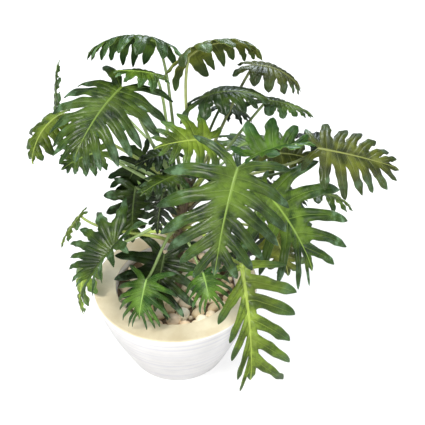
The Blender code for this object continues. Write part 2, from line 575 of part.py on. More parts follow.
def fuse(target, pieces, operation="UNION"):
    """Join pieces to the target, or cut them from it, with one Boolean that is then applied."""
    group = bpy.data.collections.new("pieces")
    bpy.context.scene.collection.children.link(group)
    for piece in pieces:
        bpy.context.scene.collection.objects.unlink(piece)
        group.objects.link(piece)
    boolean = target.modifiers.new("fuse", "BOOLEAN")
    boolean.operation = operation
    boolean.operand_type = "COLLECTION"
    boolean.collection = group
    boolean.solver = "EXACT"
    bpy.context.view_layer.update()
    seen = target.evaluated_get(bpy.context.evaluated_depsgraph_get())
    joined = bpy.data.meshes.new_from_object(seen)
    target.modifiers.clear()
    target.data = joined
    for piece in pieces:
        bpy.data.objects.remove(piece)
    bpy.data.collections.remove(group)
    return target


def make_pot():
    """The bowl planter, closed under its flat foot."""
    points, faces = turned_mesh(pot_outline(), POT_SIDES)
    pot = solid("pot", points, faces, (0.86, 0.83, 0.76), 0.45)
    pot.data.shade_smooth()
    pot.data.set_sharp_from_angle(angle=np.radians(SHARP_EDGE))


def make_soil():
    """The potting soil up to the pebble bed, with a plain hole where the trunk stands."""
    heights = (CAVITY_HEIGHTS[0] + GAP, *CAVITY_HEIGHTS[1:], SOIL_TOP)
    outline = [(cavity_radius(h) - GAP, h) for h in heights]
    points, faces = turned_mesh(outline, POT_SIDES)
    soil = solid("soil", points, faces, (0.07, 0.05, 0.035), 0.95)
    hole = [(TRUNK_HOLE, SOIL_FOOT - GAP), (TRUNK_HOLE, POT_HEIGHT)]
    points, faces = turned_mesh(hole, TRUNK_SIDES)
    fuse(soil, [solid("hole", points, faces, (0, 0, 0), 1.0)], "DIFFERENCE")


def make_pebbles():
    """The pebble dressing: a thin gravel bed with the pebbles sunk in it, round the trunk."""
    low, high = SOIL_TOP + GAP, SOIL_TOP + GAP + BED_THICKNESS
    edge = OPENING - GAP
    points, faces = turned_mesh([(edge, low), (edge, high)], POT_SIDES)
    bed = solid("pebbles", points, faces, (0.66, 0.56, 0.44), 0.75)
    draw = np.random.default_rng(PEBBLE_SEED)
    stones = []
    for index in range(PEBBLE_COUNT):
        points, faces = pebble_mesh(index, draw)
        stones.append(solid("pebble_%02d" % index, points, faces, (0.66, 0.56, 0.44), 0.75))
    fuse(bed, stones)
    hole = [(TRUNK_HOLE, low - CUT_MARGIN), (TRUNK_HOLE, POT_HEIGHT + CUT_MARGIN)]
    points, faces = turned_mesh(hole, TRUNK_SIDES)
    fuse(bed, [solid("hole", points, faces, (0, 0, 0), 1.0)], "DIFFERENCE")


def make_trunk():
    """The woody stem: upright in its hole, ringed with leaf scars, then leaning to the crown."""
    rings = [(SOIL_FOOT, 0.0), (SCAR_FOOT, 0.0)]
    scar = SCAR_FOOT + SCAR_SPACING / 2
    while scar < SCAR_TOP:
        rings += [(scar - SCAR_SPACING / 4, 0.0), (scar, SCAR_RELIEF)]
        scar += SCAR_SPACING
    rings += [(h, 0.0) for h in np.linspace(SCAR_TOP, TRUNK_TOP, TRUNK_STEPS)]
    height = np.array([h for h, _ in rings])
    relief = np.array([r for _, r in rings])
    path = np.vstack([trunk_axis(height), trunk_axis(TRUNK_TOP + TRUNK_CAP)])
    radius = np.append(trunk_radius(height) + relief, TRUNK_CAP_SHARE * trunk_radius(TRUNK_TOP))
    points, faces = tube_mesh(path, radius, TRUNK_SIDES)
    trunk = solid("trunk", points, faces, (0.16, 0.11, 0.07), 0.9)
    trunk.data.shade_smooth()
    trunk.data.set_sharp_from_angle(angle=np.radians(SHARP_EDGE))


def make_leaf(row):
    """One leaf, its stalk joined to its blade."""
    colour = LEAF_TINTS[row["tint"]]
    blade = solid(row["name"], *blade_mesh(row), colour, 0.4)
    path, radius = stalk_path(row)
    stalk = solid(row["name"] + "_stalk", *tube_mesh(path, radius, PETIOLE_SIDES), colour, 0.4)
    fuse(blade, [stalk])


def make_plant():
    """Clear the scene, then make every piece."""
    for old in list(bpy.data.objects):
        bpy.data.objects.remove(old)
    make_pot()
    make_soil()
    make_pebbles()
    make_trunk()
    for row in LEAVES:
        make_leaf(row)


make_plant()
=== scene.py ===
# %% [markdown]
# # A philodendron selloum in its bowl planter
# The solids of the plant come from model.glb, and this lesson dresses them. Each leaf, the trunk, the
# pebbles and the pot get a finer surface in the same place, worked out with numpy from the same sizes.
# Everything is in metres, +Z is up and +Y is the back of the plant.

# %% Load the frame
import bpy
import mathutils
import numpy as np
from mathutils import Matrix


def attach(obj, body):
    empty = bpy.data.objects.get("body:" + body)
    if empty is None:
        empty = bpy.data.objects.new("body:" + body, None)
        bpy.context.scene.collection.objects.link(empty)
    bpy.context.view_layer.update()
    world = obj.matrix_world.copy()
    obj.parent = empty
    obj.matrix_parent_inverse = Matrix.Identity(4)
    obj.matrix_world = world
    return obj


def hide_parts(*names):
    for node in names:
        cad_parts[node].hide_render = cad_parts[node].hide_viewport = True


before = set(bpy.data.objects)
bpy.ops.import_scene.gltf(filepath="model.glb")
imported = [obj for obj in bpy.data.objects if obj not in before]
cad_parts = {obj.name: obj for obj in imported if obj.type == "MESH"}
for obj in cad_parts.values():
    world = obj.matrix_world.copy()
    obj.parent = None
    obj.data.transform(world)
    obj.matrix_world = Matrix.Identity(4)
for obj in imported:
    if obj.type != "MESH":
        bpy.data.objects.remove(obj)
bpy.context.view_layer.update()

# %% [markdown]
# ## The camera and the light
# The plant is looked at from above the rim, with a 50 mm lens about a metre away. The light is that of a
# bright studio: one broad panel high on the left, weaker ones on the right and at the back, and a dim
# pale room all round. Broad panels give leaves the long soft highlights that show their wax, and a dim
# room keeps the hollow of the plant dark. What the camera sees of the room past the floor is white.

# %% Camera
CAMERA_PLACE = (0.09, -1.068, 1.216)
CAMERA_PITCH = 36.5           # degrees below level
CAMERA_LENS = 50.0

lens = bpy.data.cameras.new("camera")
lens.lens = CAMERA_LENS
camera = bpy.data.objects.new("camera", lens)
camera.location = CAMERA_PLACE
camera.rotation_euler = (np.radians(90 - CAMERA_PITCH), 0.0, 0.0)
bpy.context.scene.collection.objects.link(camera)
bpy.context.scene.camera = camera
bpy.context.scene.view_settings.view_transform = "Standard"
print("camera at", CAMERA_PLACE)

# %% Lights and room
ROOM_COLOUR = (0.95, 0.97, 1.0)
ROOM_STRENGTH = 0.12          # for the light it gives
ROOM_SEEN = 1.05              # where the camera looks at it, which is just past white
PANELS = {                    # place, size in metres, watts, colour
    "panel_left": ((-3.2, -2.5, 5.8), 2.6, 520.0, (1.0, 0.98, 0.94)),
    "panel_right": ((4.0, -1.6, 3.4), 2.2, 90.0, (1.0, 1.0, 1.0)),
    "panel_back": ((0.6, 4.0, 4.6), 2.6, 330.0, (0.84, 0.93, 1.0)),
    "panel_front": ((0.3, -4.4, 1.0), 1.6, 110.0, (1.0, 0.99, 0.97)),
}
AIM = np.array([0.05, 0.0, 0.42])   # the middle of the plant

room = bpy.data.worlds.new("room")
room.use_nodes = True
air = room.node_tree.nodes["Background"]
air.inputs["Color"].default_value = (*ROOM_COLOUR, 1.0)
strength = room.node_tree.nodes.new("ShaderNodeMapRange")
strength.inputs["To Min"].default_value = ROOM_STRENGTH
strength.inputs["To Max"].default_value = ROOM_SEEN
light_path = room.node_tree.nodes.new("ShaderNodeLightPath")
room.node_tree.links.new(light_path.outputs["Is Camera Ray"], strength.inputs["Value"])
room.node_tree.links.new(strength.outputs["Result"], air.inputs["Strength"])
bpy.context.scene.world = room


def aim_at(place):
    """Turn that points a light's -Z axis from its place to the middle of the plant."""
    return mathutils.Vector(AIM - np.array(place)).to_track_quat("-Z", "Y").to_euler()


for name, (place, size, watts, colour) in PANELS.items():
    panel = bpy.data.lights.new(name, "AREA")
    panel.size = size
    panel.energy = watts
    panel.color = colour
    lamp = bpy.data.objects.new(name, panel)
    lamp.location = place
    lamp.rotation_euler = aim_at(place)
    bpy.context.scene.collection.objects.link(lamp)
print("panels:", len(PANELS))

# %% [markdown]
# ## Helpers for meshes
# Every piece is a set of grids. A grid is an array of points with rows and columns, and its faces join
# each point to the next one along and across. Where two grids meet, their points fall in the same place
# and are made one, so that no seam is open.

# %% Mesh helpers
MERGE = 1e-6                  # points nearer than this are one, in metres or in lengths of a blade
FULL_TURN = 2 * np.pi


def grid_faces(rows, columns):
    """Quads of a grid whose points are numbered row by row."""
    a = np.arange(rows - 1)[:, None] * columns + np.arange(columns - 1)
    return np.stack([a, a + 1, a + 1 + columns, a + columns], axis=-1).reshape(-1, 4)


def weld(keys, grid):
    """Makes points with the same keys one, and leaves out faces that lose their third corner by it.

    Gives the first point of each key, the faces in the new numbers, and the same faces in the old.
    """
    _, first, renamed = np.unique(np.round(keys / MERGE).astype(np.int64), axis=0,
                                  return_index=True, return_inverse=True)
    faces = renamed.reshape(-1)[grid]
    whole = (np.diff(np.sort(faces, axis=1), axis=1) != 0).sum(axis=1) >= 2
    return first, faces[whole], grid[whole]


def ring(columns):
    """Angles of a closed ring of points, the last of which is the first one again."""
    return FULL_TURN * (np.arange(columns + 1) % columns) / columns


def unit(vector):
    """The same direction with a length of 1."""
    return vector / np.linalg.norm(vector)


def put_mesh(name, points, faces, materials, slots=None, maps=None):
    """A smooth mesh object of points and faces (rows of 3 or 4, a repeated corner makes a triangle)."""
    mesh = bpy.data.meshes.new(name)
    lists = [tuple(dict.fromkeys(f)) for f in faces.tolist()]
    mesh.from_pydata(points.tolist(), [], lists)
    for material in materials:
        mesh.materials.append(material)
    if slots is not None:
        mesh.polygons.foreach_set("material_index", slots.astype(np.int32))
    for label, corners in (maps or {}).items():
        layer = mesh.uv_layers.new(name=label)
        layer.data.foreach_set("uv", corners.astype(np.float32).ravel())
    mesh.shade_smooth()
    mesh.update()
    made = bpy.data.objects.new(name, mesh)
    bpy.context.scene.collection.objects.link(made)
    return made


def put_grid(name, points, material):
    """A mesh object of one grid of points."""
    spots = points.reshape(-1, 3)
    first, faces, _ = weld(spots, grid_faces(*points.shape[:2]))
    return put_mesh(name, spots[first], faces, [material])


def dress(piece, node):
    """Let a finished piece stand for a CAD node and take its place on the body."""
    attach(piece, "root")
    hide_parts(node)


def corner_values(faces, values):
    """Values of a face's corners, in the order the mesh keeps them, without the repeated ones."""
    repeated = np.zeros(faces.shape, bool)
    for k in range(1, faces.shape[1]):
        repeated[:, k] = (faces[:, k:k + 1] == faces[:, :k]).any(axis=1)
    return values[~repeated]


def normals_of(points, faces):
    """Unit normal at each point, from the areas of the faces round it."""
    a, b, c, d = (points[faces[:, k]] for k in range(4))
    area = np.cross(c - a, d - b)
    total = np.zeros_like(points)
    for k in range(4):
        np.add.at(total, faces[:, k], area)
    return total / np.maximum(np.linalg.norm(total, axis=1), 1e-12)[:, None]


print("mesh helpers ready")

# %% [markdown]
# ## Helpers for materials
# A finish is a small graph of nodes. Effects that several finishes share, such as cloudy patches or the
# lines of the veins, are groups: they are made once and placed in each material with its own values.
# A group only gives out masks and heights. The shader itself stays in the material.

# %% Material helpers
MIX_FACTOR, MIX_A, MIX_B, MIX_RESULT = 0, 6, 7, 2   # sockets of a Mix node that mixes colours


def add(tree, kind, inputs=None, **settings):
    """A node of a tree with its settings, and its inputs given as values or as links."""
    made = tree.nodes.new(kind)
    for key, value in settings.items():
        setattr(made, key, value)
    for key, value in (inputs or {}).items():
        if isinstance(value, bpy.types.NodeSocket):
            tree.links.new(value, made.inputs[key])
        else:
            made.inputs[key].default_value = value
    return made


def ease(tree, value, low, high, start=0.0, end=1.0):
    """Runs smoothly from start to end while the value goes from low to high."""
    made = add(tree, "ShaderNodeMapRange", {"Value": value, "From Min": low, "From Max": high,
                                            "To Min": start, "To Max": end})
    made.interpolation_type = "SMOOTHSTEP"
    return made.outputs["Result"]


def maths(tree, operation, *values):
    """The result of one Math node."""
    return add(tree, "ShaderNodeMath", dict(enumerate(values)), operation=operation).outputs[0]


def times(tree, first, second):
    """Two values multiplied."""
    return maths(tree, "MULTIPLY", first, second)


def parts_of(tree, vector):
    """The X, Y and Z of a vector."""
    return add(tree, "ShaderNodeSeparateXYZ", {0: vector}).outputs


def own_map(tree, label):
    """The two values that the corners of a mesh carry under a label."""
    return parts_of(tree, add(tree, "ShaderNodeUVMap", uv_map=label).outputs[0])


def blend_colour(tree, share, first, second, most=1.0):
    """Goes from the first colour to the second by a share, and by no more than most of the way."""
    if most != 1.0:
        share = times(tree, share, most)
    inputs = {MIX_FACTOR: share}
    for key, colour in ((MIX_A, first), (MIX_B, second)):
        inputs[key] = colour if isinstance(colour, bpy.types.NodeSocket) else (*colour, 1.0)
    return add(tree, "ShaderNodeMix", inputs, data_type="RGBA").outputs[MIX_RESULT]


def new_group(name, inputs, outputs):
    """An empty node group with named sockets, its inputs with their usual values, and its two end nodes."""
    group = bpy.data.node_groups.new(name, "ShaderNodeTree")
    for label, value in inputs.items():
        group.interface.new_socket(label, in_out="INPUT", socket_type="NodeSocketFloat").default_value = value
    for label in outputs:
        group.interface.new_socket(label, in_out="OUTPUT", socket_type="NodeSocketFloat")
    return group, group.nodes.new("NodeGroupInput"), group.nodes.new("NodeGroupOutput")


def place_group(tree, group, **inputs):
    """A group placed in a material, with its own values."""
    made = tree.nodes.new("ShaderNodeGroup")
    made.node_tree = group
    for label, value in inputs.items():
        if isinstance(value, bpy.types.NodeSocket):
            tree.links.new(value, made.inputs[label])
        else:
            made.inputs[label].default_value = value
    return made.outputs


def new_material(name, roughness=0.5, coat=0.0, shine=0.5):
    """A material with its Principled shader, its plain values set on the shader's own sockets."""
    material = bpy.data.materials.new(name)
    material.use_nodes = True
    tree = material.node_tree
    shader = tree.nodes["Principled BSDF"]
    shader.inputs["Roughness"].default_value = roughness
    shader.inputs["Coat Weight"].default_value = coat
    shader.inputs["Specular IOR Level"].default_value = shine
    return material, tree, shader


def set_surface(tree, shader, colour, mask=None, roughness=None):
    """Gives the shader its colour, and a roughness that runs from low to high with a mask."""
    tree.links.new(colour, shader.inputs["Base Color"])
    if mask is not None:
        tree.links.new(ease(tree, mask, 0.0, 1.0, *roughness), shader.inputs["Roughness"])


def set_bump(tree, shader, height, distance, strength):
    """Lets a height in the range 0 to 1 bend the shader's normal, as relief of that depth."""
    bump = add(tree, "ShaderNodeBump", {"Height": height, "Distance": distance, "Strength": strength})
    tree.links.new(bump.outputs["Normal"], shader.inputs["Normal"])


print("material helpers ready")

# %% Cloudy patches
# Size is that of a patch in metres, and Flat presses patches level. The mask goes from 0 to 1 while the
# noise goes from Low to High.
CLOUD_USUAL = dict(Size=0.02, Flat=1.0, Low=0.35, High=0.65)

CLOUD, cloud_in, cloud_out = new_group("cloudy patches", CLOUD_USUAL, ["Mask"])
c = cloud_in.outputs
x, y, z = parts_of(CLOUD, add(CLOUD, "ShaderNodeTexCoord").outputs["Object"])
pressed = add(CLOUD, "ShaderNodeCombineXYZ", {0: x, 1: y, 2: times(CLOUD, z, c["Flat"])})
scale = maths(CLOUD, "DIVIDE", 1.0, c["Size"])
noise = add(CLOUD, "ShaderNodeTexNoise",
            {"Vector": pressed.outputs[0], "Scale": scale, "Detail": 5.0, "Roughness": 0.6})
CLOUD.links.new(ease(CLOUD, noise.outputs[0], c["Low"], c["High"]), cloud_out.inputs["Mask"])


def cloud(tree, **values):
    """The mask of cloudy patches in a material, with the group's usual values where none are given."""
    return place_group(tree, CLOUD, **values)["Mask"]


print("group:", CLOUD.name)

# %% [markdown]
# ## The finish of a leaf
# A leaf is waxy above and paler and duller below. A thick pale rib runs to its tip, a vein runs down the
# middle of each lobe, and fine side veins leave it like the barbs of a feather. Painting veins on would
# need an image, so each corner of the mesh carries its distances from the rib and from its lobe's vein,
# and the group below turns those into lines of any width.
#
# The blade between them isn't one green either. It is patched light and dark, and beside the rib it
# takes on the rib's yellower green as a painted glow, as of light shining through the thin blade. Out
# along the lobes it gets darker and bluer, the blue being painted sheen, and a grey-green painted sheen
# lies there in clouds for the gloss of the wax. All of it follows from how far out on its lobe a point is.

# %% Vein lines
# Along and Across are millimetres on the lobe, as is the Spacing of side veins. Rib and Vein are
# distances, with 1 at the edge of the rib or the vein. Slant is how much the side veins lean forward.
VEIN_USUAL = dict(Along=0.0, Across=0.0, Rib=0.0, Vein=0.0, Spacing=5.0, Slant=1.1)
# A line is full up to the first of its distances and gone at the second.
LINE_EDGES = {"Rib line": (0.75, 1.15), "Vein line": (0.35, 1.30), "Side lines": (0.03, 0.17)}

VEINS, vein_in, vein_out = new_group("vein lines", VEIN_USUAL, list(LINE_EDGES))
v = vein_in.outputs
slanted = maths(VEINS, "SUBTRACT", v["Along"], times(VEINS, v["Across"], v["Slant"]))
off_side = maths(VEINS, "PINGPONG", maths(VEINS, "DIVIDE", slanted, v["Spacing"]), 0.5)
for (label, edges), off in zip(LINE_EDGES.items(), (v["Rib"], v["Vein"], off_side)):
    VEINS.links.new(ease(VEINS, off, *edges, 1.0, 0.0), vein_out.inputs[label])
print("group:", VEINS.name)

# %% Leaf materials
TOP_COLOURS = {               # dark and light patches, ribs: linear colours
    "green": ((0.010, 0.029, 0.005), (0.068, 0.124, 0.011), (0.20, 0.31, 0.052)),
    "golden": ((0.040, 0.074, 0.006), (0.138, 0.215, 0.018), (0.34, 0.45, 0.075)),
    "fresh": ((0.014, 0.052, 0.005), (0.078, 0.170, 0.016), (0.24, 0.40, 0.085)),
    # deep is the dark green of leaves low in the plant and at its back: partly their own colour, partly
    # painted shade.
    "deep": ((0.003, 0.009, 0.0012), (0.022, 0.044, 0.004), (0.07, 0.110, 0.025)),
    "olive": ((0.024, 0.034, 0.004), (0.100, 0.120, 0.012), (0.24, 0.27, 0.065)),
}
# The reaches are shares of the way out along a lobe, between which an effect comes up or dies down.
# Beside the rib the blade gets a painted glow: the rib's yellower green, for light shining through the thin
# blade.
RIB_GLOW = 0.30               # how much of the rib's colour the blade takes on beside it
GLOW_REACH = (0.02, 0.34)
# A lobe is darker towards its tip, and bluer there: the blue is a painted sheen of bluish light.
TIP_TINT_AND_SHEEN = np.array([0.52, 0.80, 1.70])   # red, green and blue at a lobe's tip, against each other
TIP_DARKNESS = 0.55           # and against the blade's light patches
TIP_REACH = (0.36, 0.95)
# Painted sheen: grey-green clouds out on the lobes that paint the gloss of light on their wax.
PAINTED_SHEEN = {"green": 0.80, "golden": 0.26, "fresh": 0.36, "deep": 0.42, "olive": 0.40}
PAINTED_SHEEN_COLOUR = (0.160, 0.280, 0.155)   # painted grey-green sheen
PAINTED_SHEEN_REACH = (0.42, 0.80)
# Each kind of line takes on this share of the rib's colour, and is sunk above and raised below.
VEIN_SHARES = {"Side lines": 0.11, "Vein line": 0.42, "Rib line": 0.85}
VEIN_RELIEF = {"Side lines": (-0.5, 0.8), "Vein line": (-0.6, 1.0)}
SPECKLE_RELIEF = 0.25
LEAF_RELIEF = 0.0010          # what a height of 1 stands for, in metres
MARGIN_START = 0.90           # a blade's rim is worn light from here to its edge
MARGIN_WEAR = 0.55            # how far it then takes the rib's colour, and how dark that is
MARGIN_SHADE = 0.9
AGED = (0.74, 1.20)           # range of lightness from one part of a blade to another
PALER, HAZE = 1.35, 0.008     # the underside is lighter by this factor, and a little greyer
TOP_ROUGHNESS = (0.30, 0.46)  # on the smooth wax and in the speckles
UNDER_ROUGHNESS = (0.58, 0.70)
TOP_COAT = 0.10
TOP_SHINE, UNDER_SHINE = 0.27, 0.2


def leaf_material(tint, top):
    """One side of a leaf: patches of two greens, glow, dark tips, sheen, veins and a rim worn light.

    The glow beside the rib, the blue of the tips and the grey-green sheen out on the lobes are painted light.
    """
    dark, light, rib = (np.array(c) for c in TOP_COLOURS[tint])
    if not top:
        dark, light = dark * PALER + HAZE, light * PALER + HAZE
    name = "leaf_%s_%s" % (tint, "top" if top else "under")
    material, tree, shader = new_material(name, coat=TOP_COAT if top else 0.0,
                                          shine=TOP_SHINE if top else UNDER_SHINE)
    lobe, line, leaf, spread = (own_map(tree, label) for label in ("lobe", "line", "leaf", "spread"))
    veins = place_group(tree, VEINS, Along=lobe[0], Across=lobe[1], Rib=line[0], Vein=line[1])
    patches = cloud(tree, Size=0.040, Low=0.37, High=0.64)
    speckle = cloud(tree, Size=0.004, Low=0.3, High=0.7)
    wide = cloud(tree, Size=0.055)
    out = spread[0]
    # painted glow beside the rib, for light shining through the thin blade
    glow = times(tree, ease(tree, out, *GLOW_REACH, RIB_GLOW, 0.0), patches)
    colour = blend_colour(tree, patches, dark, light)
    colour = blend_colour(tree, glow, colour, rib)
    # darker towards the tips, and bluer there as painted sheen
    colour = blend_colour(tree, ease(tree, out, *TIP_REACH), colour, light * TIP_TINT_AND_SHEEN * TIP_DARKNESS)
    if top:
        # painted sheen: grey-green clouds out on the lobes for the gloss of the wax
        sheen_mask = cloud(tree, Size=0.026, Low=0.46, High=0.66)
        sheen_mask = times(tree, ease(tree, out, *PAINTED_SHEEN_REACH, 0.0, PAINTED_SHEEN[tint]), sheen_mask)
        colour = blend_colour(tree, sheen_mask, colour, PAINTED_SHEEN_COLOUR)
    for label, most in VEIN_SHARES.items():
        colour = blend_colour(tree, veins[label], colour, rib, most)
    worn = ease(tree, leaf[0], MARGIN_START, 1.0, 0.0, MARGIN_WEAR)
    colour = blend_colour(tree, worn, colour, rib * MARGIN_SHADE)
    # lightness of the blade: a draw and a listed factor, which is partly painted light and shade, times slow
    # clouds
    lightness = times(tree, leaf[1], ease(tree, wide, 0.0, 1.0, *AGED))
    toned = add(tree, "ShaderNodeHueSaturation", {"Value": lightness, "Color": colour})
    set_surface(tree, shader, toned.outputs[0], speckle, TOP_ROUGHNESS if top else UNDER_ROUGHNESS)
    relief = times(tree, speckle, SPECKLE_RELIEF)
    for label, depths in VEIN_RELIEF.items():
        relief = maths(tree, "ADD", relief, times(tree, veins[label], depths[0 if top else 1]))
    set_bump(tree, shader, relief, distance=LEAF_RELIEF, strength=0.8)
    return material


LEAF_FINISH = {tint: (leaf_material(tint, True), leaf_material(tint, False)) for tint in TOP_COLOURS}
print("leaf materials:", 2 * len(LEAF_FINISH))

# %% [markdown]
# ## The finish of a stalk
# A stalk is smooth and light green, with fine lines along it, and it turns brown where it clasps the
# trunk. The lines follow the stalk, so they are read from its own map: along it and round it. The same
# tube goes on under the blade as the rib, and there it has the colour that the blade gives its ribs.

# %% Stalk materials
# The green and olive stalks are made as light as sunlit stalks look, and the deep ones darker: partly their
# own colour, partly painted light and shade.
STALK_COLOURS = {
    "green": (0.320, 0.440, 0.165), "golden": (0.36, 0.46, 0.095), "fresh": (0.20, 0.29, 0.095),
    "deep": (0.150, 0.220, 0.070), "olive": (0.38, 0.44, 0.165),
}
STALK_GRAIN = (0.02, 2.5)     # how fast the noise of the lines runs along a stalk and round it
LINE_SHADE, SKIN_SHADE = 0.75, 1.2   # in the lines and between them, against the stalk's colour
PATCH_SHADE, PATCH_SHARE = 0.6, 0.25
STALK_FOOT = (0.085, 0.055, 0.026)
FOOT_SHARE = 0.85             # how far the foot is browned
FOOT_REACH = (0.02, 0.16)     # shares of the way up a stalk over which that dies down
RIB_START = 0.97              # and from which it takes on the colour of the rib


def stalk_material(tint):
    """Light green skin with lines along the stalk, brown at its foot and the rib's colour under the blade."""
    colour = np.array(STALK_COLOURS[tint])
    material, tree, shader = new_material("stalk_" + tint, coat=0.06)
    lobe, leaf = own_map(tree, "lobe"), own_map(tree, "leaf")
    stretched = add(tree, "ShaderNodeCombineXYZ", {k: times(tree, lobe[k], STALK_GRAIN[k]) for k in (0, 1)})
    lines = add(tree, "ShaderNodeTexNoise", {"Vector": stretched.outputs[0], "Scale": 4.0, "Detail": 4.0})
    patches = cloud(tree, Size=0.012)
    between = ease(tree, lines.outputs[0], 0.35, 0.65)
    skin = blend_colour(tree, between, colour * LINE_SHADE, colour * SKIN_SHADE)
    skin = blend_colour(tree, patches, skin, colour * PATCH_SHADE, PATCH_SHARE)
    skin = blend_colour(tree, ease(tree, leaf[0], *FOOT_REACH, FOOT_SHARE, 0.0), skin, STALK_FOOT)
    skin = blend_colour(tree, ease(tree, leaf[0], RIB_START, 1.0), skin, TOP_COLOURS[tint][2])
    toned = add(tree, "ShaderNodeHueSaturation", {"Value": leaf[1], "Color": skin})
    set_surface(tree, shader, toned.outputs[0], patches, roughness=(0.36, 0.52))
    set_bump(tree, shader, lines.outputs[0], distance=0.0004, strength=0.5)
    return material


STALK_FINISH = {tint: stalk_material(tint) for tint in STALK_COLOURS}
print("stalk materials:", len(STALK_FINISH))

# %% [markdown]
# ## Sizes of the plant
# These are the same sizes that the solids were built from, so that each new surface falls where the solid
# it stands for is.

# %% Sizes
GAP = 0.0003                  # clearance between two nodes that touch
POT_RADIUS = 0.200            # widest radius, at the rim
POT_HEIGHT = 0.220
FOOT_RADIUS = 0.130
BAND_WIDTH = 0.054            # flat rim band, from the outer edge to the opening
OPENING = POT_RADIUS - BAND_WIDTH
BOWL_ROUND = 1.3              # 1 gives a cone, more a rounder belly
RIM_EDGE = 0.006              # rounded outer edge of the band
LIP_EDGE = 0.003              # rounded edge of the opening
POT_WALL = 0.014
POT_FLOOR = 0.016

SOIL_TOP = 0.176
SOIL_FOOT = 0.100             # height of the flat underside of the trunk, in the soil

BED_THICKNESS = 0.016         # gravel bed that the pebbles are sunk in
PEBBLE_COUNT = 42
PEBBLE_LONG = 0.022           # half length of a pebble
PEBBLE_TOP = 0.212            # just under the rim
PEBBLE_INNER = 0.024          # nearest that a pebble's centre comes to the trunk's axis
PEBBLE_ROOM = 1.12            # room kept from the pot to a centre, in pebble half lengths
PEBBLE_SIZES = (0.84, 1.0)    # range of lengths, and below of widths and thicknesses against them
PEBBLE_WIDTHS = (0.72, 0.90)
PEBBLE_HEIGHTS = (0.60, 0.68)
PEBBLE_TILT = 14
PEBBLE_SINK = 0.005           # the deepest pebble's top, below the highest one's
GOLDEN_ANGLE = 137.5          # turn from one pebble to the next, as in a sunflower's head
PEBBLE_SEED = 7

TRUNK_RADIUS = 0.0145
TRUNK_TOP = 0.505
TRUNK_LEAN = (0.032, 0.004)   # how far the top stands from the foot, in X and Y
TRUNK_TAPER = 0.25            # share of its radius that it has lost TAPER_LENGTH above the scars
TAPER_LENGTH = 0.2
LEAN_GROWTH = 1.3             # above 1, the lean grows with height
TRUNK_CAP = 0.008             # height of the blunt end, and its radius against the trunk's
TRUNK_CAP_SHARE = 0.55
SCAR_FOOT = PEBBLE_TOP + 0.004
SCAR_TOP = 0.295              # old leaf scars ring the trunk up to here, below the stalks
SCAR_RELIEF = 0.0022          # how far they stand proud
SCAR_SPACING = 0.024

BLADE = 0.0010                # thickness of a leaf
PETIOLE_ROOT = 0.0046         # radius where the stalk leaves the trunk
PETIOLE_NECK = 0.0030         # radius where it meets the blade
SOCKET = 0.005                # first, level stretch of a stalk, square to the trunk
STALK_RISE = 1.2              # how steeply a stalk leaves the trunk, up against out
STALK_LEAVE = 0.35            # lengths of the curve's two handles, in shares of its span
STALK_ARRIVE = 0.30
STALK_FOLLOW = 0.35           # how much a stalk turns into its midrib's direction as it arrives
NECK_SINK = 0.0016            # depth of the stalk's centre under the blade, at the blade's start

# %% [markdown]
# ## How a leaf is cut
# A leaf of this plant is a feather of narrow lobes, which stay joined only near the rib. The lobes leave
# the rib more and more steeply, from the first, which point back past the stalk, to the last beside the
# tip. Five kinds of numbers say all that: where roots stand, their angles, lengths, slits and curl.
# Drawing each outline by hand would take hundreds of points, so a rule with seeded jitter is used.

# %% Sizes of the cut
# How lobes are spread along a midrib of length 1.
ROOT_SPREAD = 0.74            # the last lobe's root, and how the roots crowd towards the stalk
ROOT_CROWDING = 1.15
ROOT_STAGGER = 0.02           # how far the two sides' roots are out of step
ANGLE_EASE = 0.6              # below 1, lobe angles change fastest beside the stalk
LONGEST_AT = 0.3              # which share of the lobes, from the stalk, is the longest
LONGEST = 0.53
STUNTED = 0.35                # length of a stunted lobe, against what it would have been
ANGLE_JITTER = 4
LENGTH_JITTER = 0.07
DROOP_JITTER = (0.7, 1.3)
HEART_TURN = 20               # how much further back than the first lobe the heart's notch points
NOTCH_LIMIT = 172             # and the furthest back that it may, so that the two sides stay apart
HEART_DEPTH = 0.8
LAST_SINUS = 0.055            # from the terminal lobe's root to the slit beside it
LAST_SINUS_TURN = 0.6         # and that slit's direction, against the last lobe's angle
WEB_MARGIN = 1.02             # a free lobe starts just past the end of its web
BELLY_SHARE = 0.56            # half width of a lobe's belly, against the lobe's width
WAIST_SHARE = 0.46 / 0.68     # and of its waist at the slit
TIP_SHARPNESS = 0.8           # above 1, a lobe's outline runs to a point
DROOP_DEPTH = 0.6             # how deep a lobe's tip hangs, against its droop and length
TWIST_END = 0.98              # a lobe's twist grows with its width up to here
LEAST_TURN = 1e-6             # a lobe or a blade that doesn't bend at all would divide by nothing
LEAST_BEND = 0.5              # in degrees
CUP_REACH = 0.5               # how far out, in lengths of the blade, it has turned down by its cup

# How a blade is cut. lobes: per side. web: share of a lobe that stays joined to the rib.
# fill: how much of its room a lobe takes. belly: where along it a lobe is widest.
# girth: lobe length against the midrib. first, last: lobe angles from the midrib.
# curl: how much a lobe sweeps towards the leaf's tip. blunt: higher is rounder.
CUTS = {
    "broad": dict(lobes=8, web=0.32, fill=0.78, belly=0.45, girth=1.00,
                  first=150, last=40, curl=14, blunt=2.6),
    "open": dict(lobes=7, web=0.26, fill=0.74, belly=0.50, girth=1.05,
                 first=145, last=38, curl=16, blunt=2.4),
    "jagged": dict(lobes=6, web=0.46, fill=0.66, belly=0.25, girth=1.10,
                   first=150, last=35, curl=22, blunt=1.5),
    "young": dict(lobes=5, web=0.38, fill=0.70, belly=0.40, girth=1.05,
                  first=140, last=40, curl=18, blunt=2.2),
}
TERMINAL = dict(root=0.80, length=0.22, width=0.115, belly=0.35, blunt=2.0)


